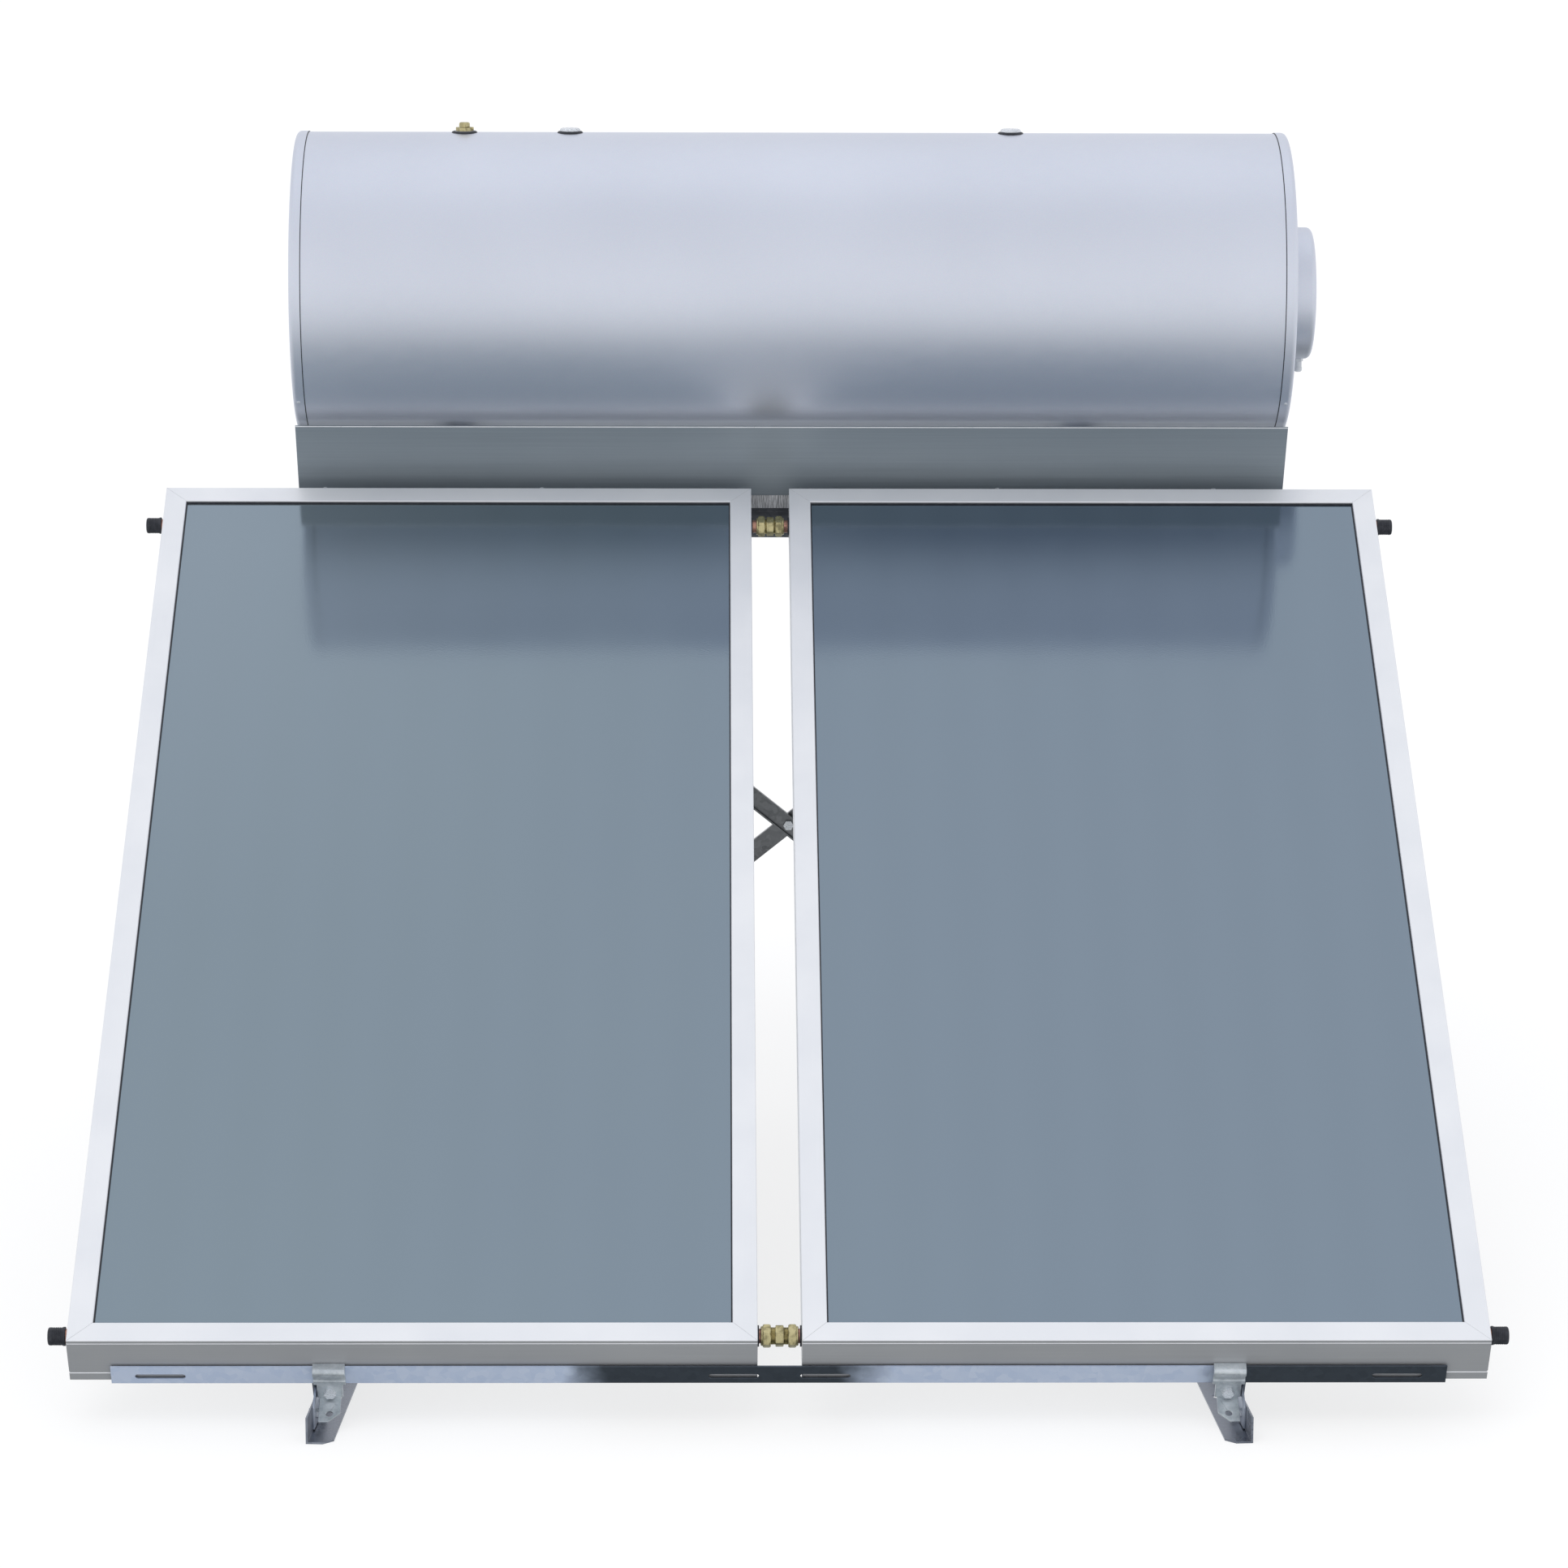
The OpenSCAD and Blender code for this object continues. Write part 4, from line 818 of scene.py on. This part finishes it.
def make_tank_seams():
    """Dark sealing beads where the end caps meet the casing, and the casing's lock seam."""
    casing_low, casing_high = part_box("tank_casing")
    centre = (casing_low + casing_high) / 2
    radius = (casing_high.y - casing_low.y) / 2
    bead = [(-1.4, 0.1), (-1.2, 0.7), (-0.5, 1.1), (0.1, 1.2)]
    ring = [(z * MM, radius + r * MM) for z, r in bead]
    beads = []
    for side, cap in ((-1, "left_end_cap"), (1, "right_end_cap")):
        low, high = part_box(cap)
        edge = high.x if side < 0 else low.x
        place = facing((edge, centre.y, centre.z), (side, 0, 0))
        beads.append((revolved(ring, None, radius - SUNK, 160), place))
    make_piece("rim_seals", beads, "black_rubber")
    below_level = math.radians(20)
    normal = Vector((0, math.cos(below_level), -math.sin(below_level)))
    seam = half_round(casing_high.x - casing_low.x - 12 * MM, 11 * MM, 1.2 * MM)
    place = along_x(centre + normal * (radius - 0.1 * MM), normal)
    make_piece("casing_seam", [(seam, place)], "silver_paint")


def pan_head(radius, height):
    """Low domed screw head."""
    steps = [(0, 1.0), (0.35, 0.99), (0.65, 0.92), (0.88, 0.74), (0.98, 0.45), (1.0, 0.15)]
    return revolved([(height * z, radius * r) for z, r in steps], None, 0, 24)


def make_screws():
    """Screws around the cover's side and pop rivets around both end caps."""
    low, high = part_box("heater_cover")
    centre = (low + high) / 2
    reach = (high.y - low.y) / 2
    screws = []
    for i in range(3):
        angle = math.radians(90 + 120 * i)
        out = Vector((0, math.cos(angle), math.sin(angle)))
        point = Vector((low.x + 8 * MM, centre.y, centre.z)) + out * (reach - SUNK)
        screws.append((pan_head(3.6 * MM, 1.9 * MM), facing(point, out)))
    make_piece("cover_screws", screws, "zinc_plated_steel", "cover")
    rivets = []
    for cap in ("left_end_cap", "right_end_cap"):
        low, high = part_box(cap)
        centre = (low + high) / 2
        radius = (high.y - low.y) / 2
        for degrees in (225, 270, 315):
            angle = math.radians(degrees)
            out = Vector((0, -math.cos(angle), math.sin(angle)))
            point = centre + out * (radius - SUNK)
            rivets.append((pan_head(3.2 * MM, 1.2 * MM), facing(point, out)))
    make_piece("cap_rivets", rivets, "zinc_plated_steel")


def drill(piece, start, depth, radius):
    """Cuts a round hole straight up into a piece from start."""
    points, faces = revolved([(0, radius), (depth, radius)])
    mesh = bpy.data.meshes.new("drill")
    mesh.from_pydata([start + point for point in points], [], faces)
    cutter = bpy.data.objects.new("drill", mesh)
    bpy.context.scene.collection.objects.link(cutter)
    cut = piece.modifiers.new("hole", "BOOLEAN")
    cut.object = cutter
    graph = bpy.context.evaluated_depsgraph_get()
    piece.data = bpy.data.meshes.new_from_object(piece.evaluated_get(graph))
    piece.modifiers.clear()
    bpy.data.objects.remove(cutter)
    piece.data.set_sharp_from_angle(angle=SHARP)


def make_cover():
    """Pressed heater cover: rolled corner, shallow dished face, hollow inside."""
    low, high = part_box("heater_cover")
    depth = high.x - low.x
    radius = (high.y - low.y) / 2
    wall = 2.4 * MM
    corner = 10 * MM
    bend = [(math.sin(math.radians(a)), math.cos(math.radians(a))) for a in range(0, 91, 9)]
    bend_z = depth - corner
    bend_r = radius - corner
    inner = [(bend_z + (corner - wall) * up, bend_r + (corner - wall) * out) for up, out in bend]
    outer = [(bend_z + corner * up, bend_r + corner * out) for up, out in bend]
    outline = [(depth - wall, 1 * MM)] + list(reversed(inner)) + [(0, radius - wall)]
    outline += [(0, radius - 0.5 * MM), (0.5 * MM, radius)] + outer
    outline += [(depth, radius - 16 * MM), (depth - 0.4 * MM, radius - 17 * MM)]
    outline += [(depth - 1.2 * MM, radius - 19 * MM), (depth - 1.5 * MM, radius - 21 * MM)]
    centre = Vector((low.x, (low.y + high.y) / 2, (low.z + high.z) / 2))
    shape = revolved(outline, None, 0, 128)
    place = facing(centre, (1, 0, 0))
    piece = make_piece("cover_pressing", [(shape, place)], "silver_paint", "cover")
    gland_low, gland_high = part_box("cable_gland")
    entry = (gland_low + gland_high) / 2
    entry.z = low.z - 5 * MM
    gland_hole_r = 6.1 * MM
    drill(piece, entry, 30 * MM, gland_hole_r)
    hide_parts("heater_cover")


def make_flashing_hem():
    """Folded hem along the flashing's top edge, in light zinc that paints its bright edge highlight.
    """
    low, high = slope_box("flashing")
    length = high.x - low.x
    edge = 1.5 * MM
    start = Vector((low.x, (low.y + high.y) / 2, high.z - edge))
    rod = [(0, edge * 0.6), (0.5 * MM, edge), (length - 0.5 * MM, edge), (length, edge * 0.6)]
    place = ON_SLOPE @ facing(start, (1, 0, 0))
    make_piece("flashing_hem", [(revolved(rod, None, 0, 20), place)], "galvanised_steel", material=HEM_HIGHLIGHT)


def make_sealing_strip():
    """Strip on the upper rail's upright, just below the flashing, with chamfered edges."""
    low, high = slope_box("flashing")
    rail_high = slope_box("upper_rail")[1]
    thickness = 1.4 * MM
    back = rail_high.y - 2.5 * MM
    face = back - thickness
    top = low.z - 0.3 * MM
    bottom = top - 30 * MM
    section = [(back, bottom), (face + 0.3 * MM, bottom), (face, bottom + 0.4 * MM)]
    section += [(face, top - 0.4 * MM), (face + 0.3 * MM, top), (back, top)]
    points = [Vector((x, y, z)) for x in (low.x, high.x) for y, z in section]
    faces = [(i, (i + 1) % 6, (i + 1) % 6 + 6, i + 6) for i in range(6)]
    faces += [tuple(range(6)), tuple(range(11, 5, -1))]
    strip = (points, faces)
    # The strip's light material is partly painted light.
    make_piece("sealing_strip", [(strip, ON_SLOPE)], "galvanised_steel", material=LIT_STRIP)


def make_back_beads():
    """Stiffening beads pressed into the collectors' back sheets."""
    spacing = 0.25
    sheet_back = -82.9 * MM
    bead = half_round(0.86, 26 * MM, 1.6 * MM)
    face_down = Matrix.Rotation(math.pi, 4, "X")
    beads = []
    for side in (-1, 1):
        for i in range(7):
            centre = Vector((side * COLLECTOR_MIDDLE_X, spacing * (i + 1), sheet_back))
            beads.append((bead, ON_SLOPE @ Matrix.Translation(centre) @ face_down))
    make_piece("back_sheet_beads", beads, "back_sheet_metal")


bpy.context.scene.view_settings.view_transform = "Standard"
make_camera()
make_world()
make_sun()
make_floor()
dress_cad_nodes()
soften_edges(SMALL_STEEL, 0.5 * MM)
make_couplings()
make_caps()
make_tank_seams()
make_cover()
make_flashing_hem()
make_sealing_strip()
make_screws()
make_back_beads()
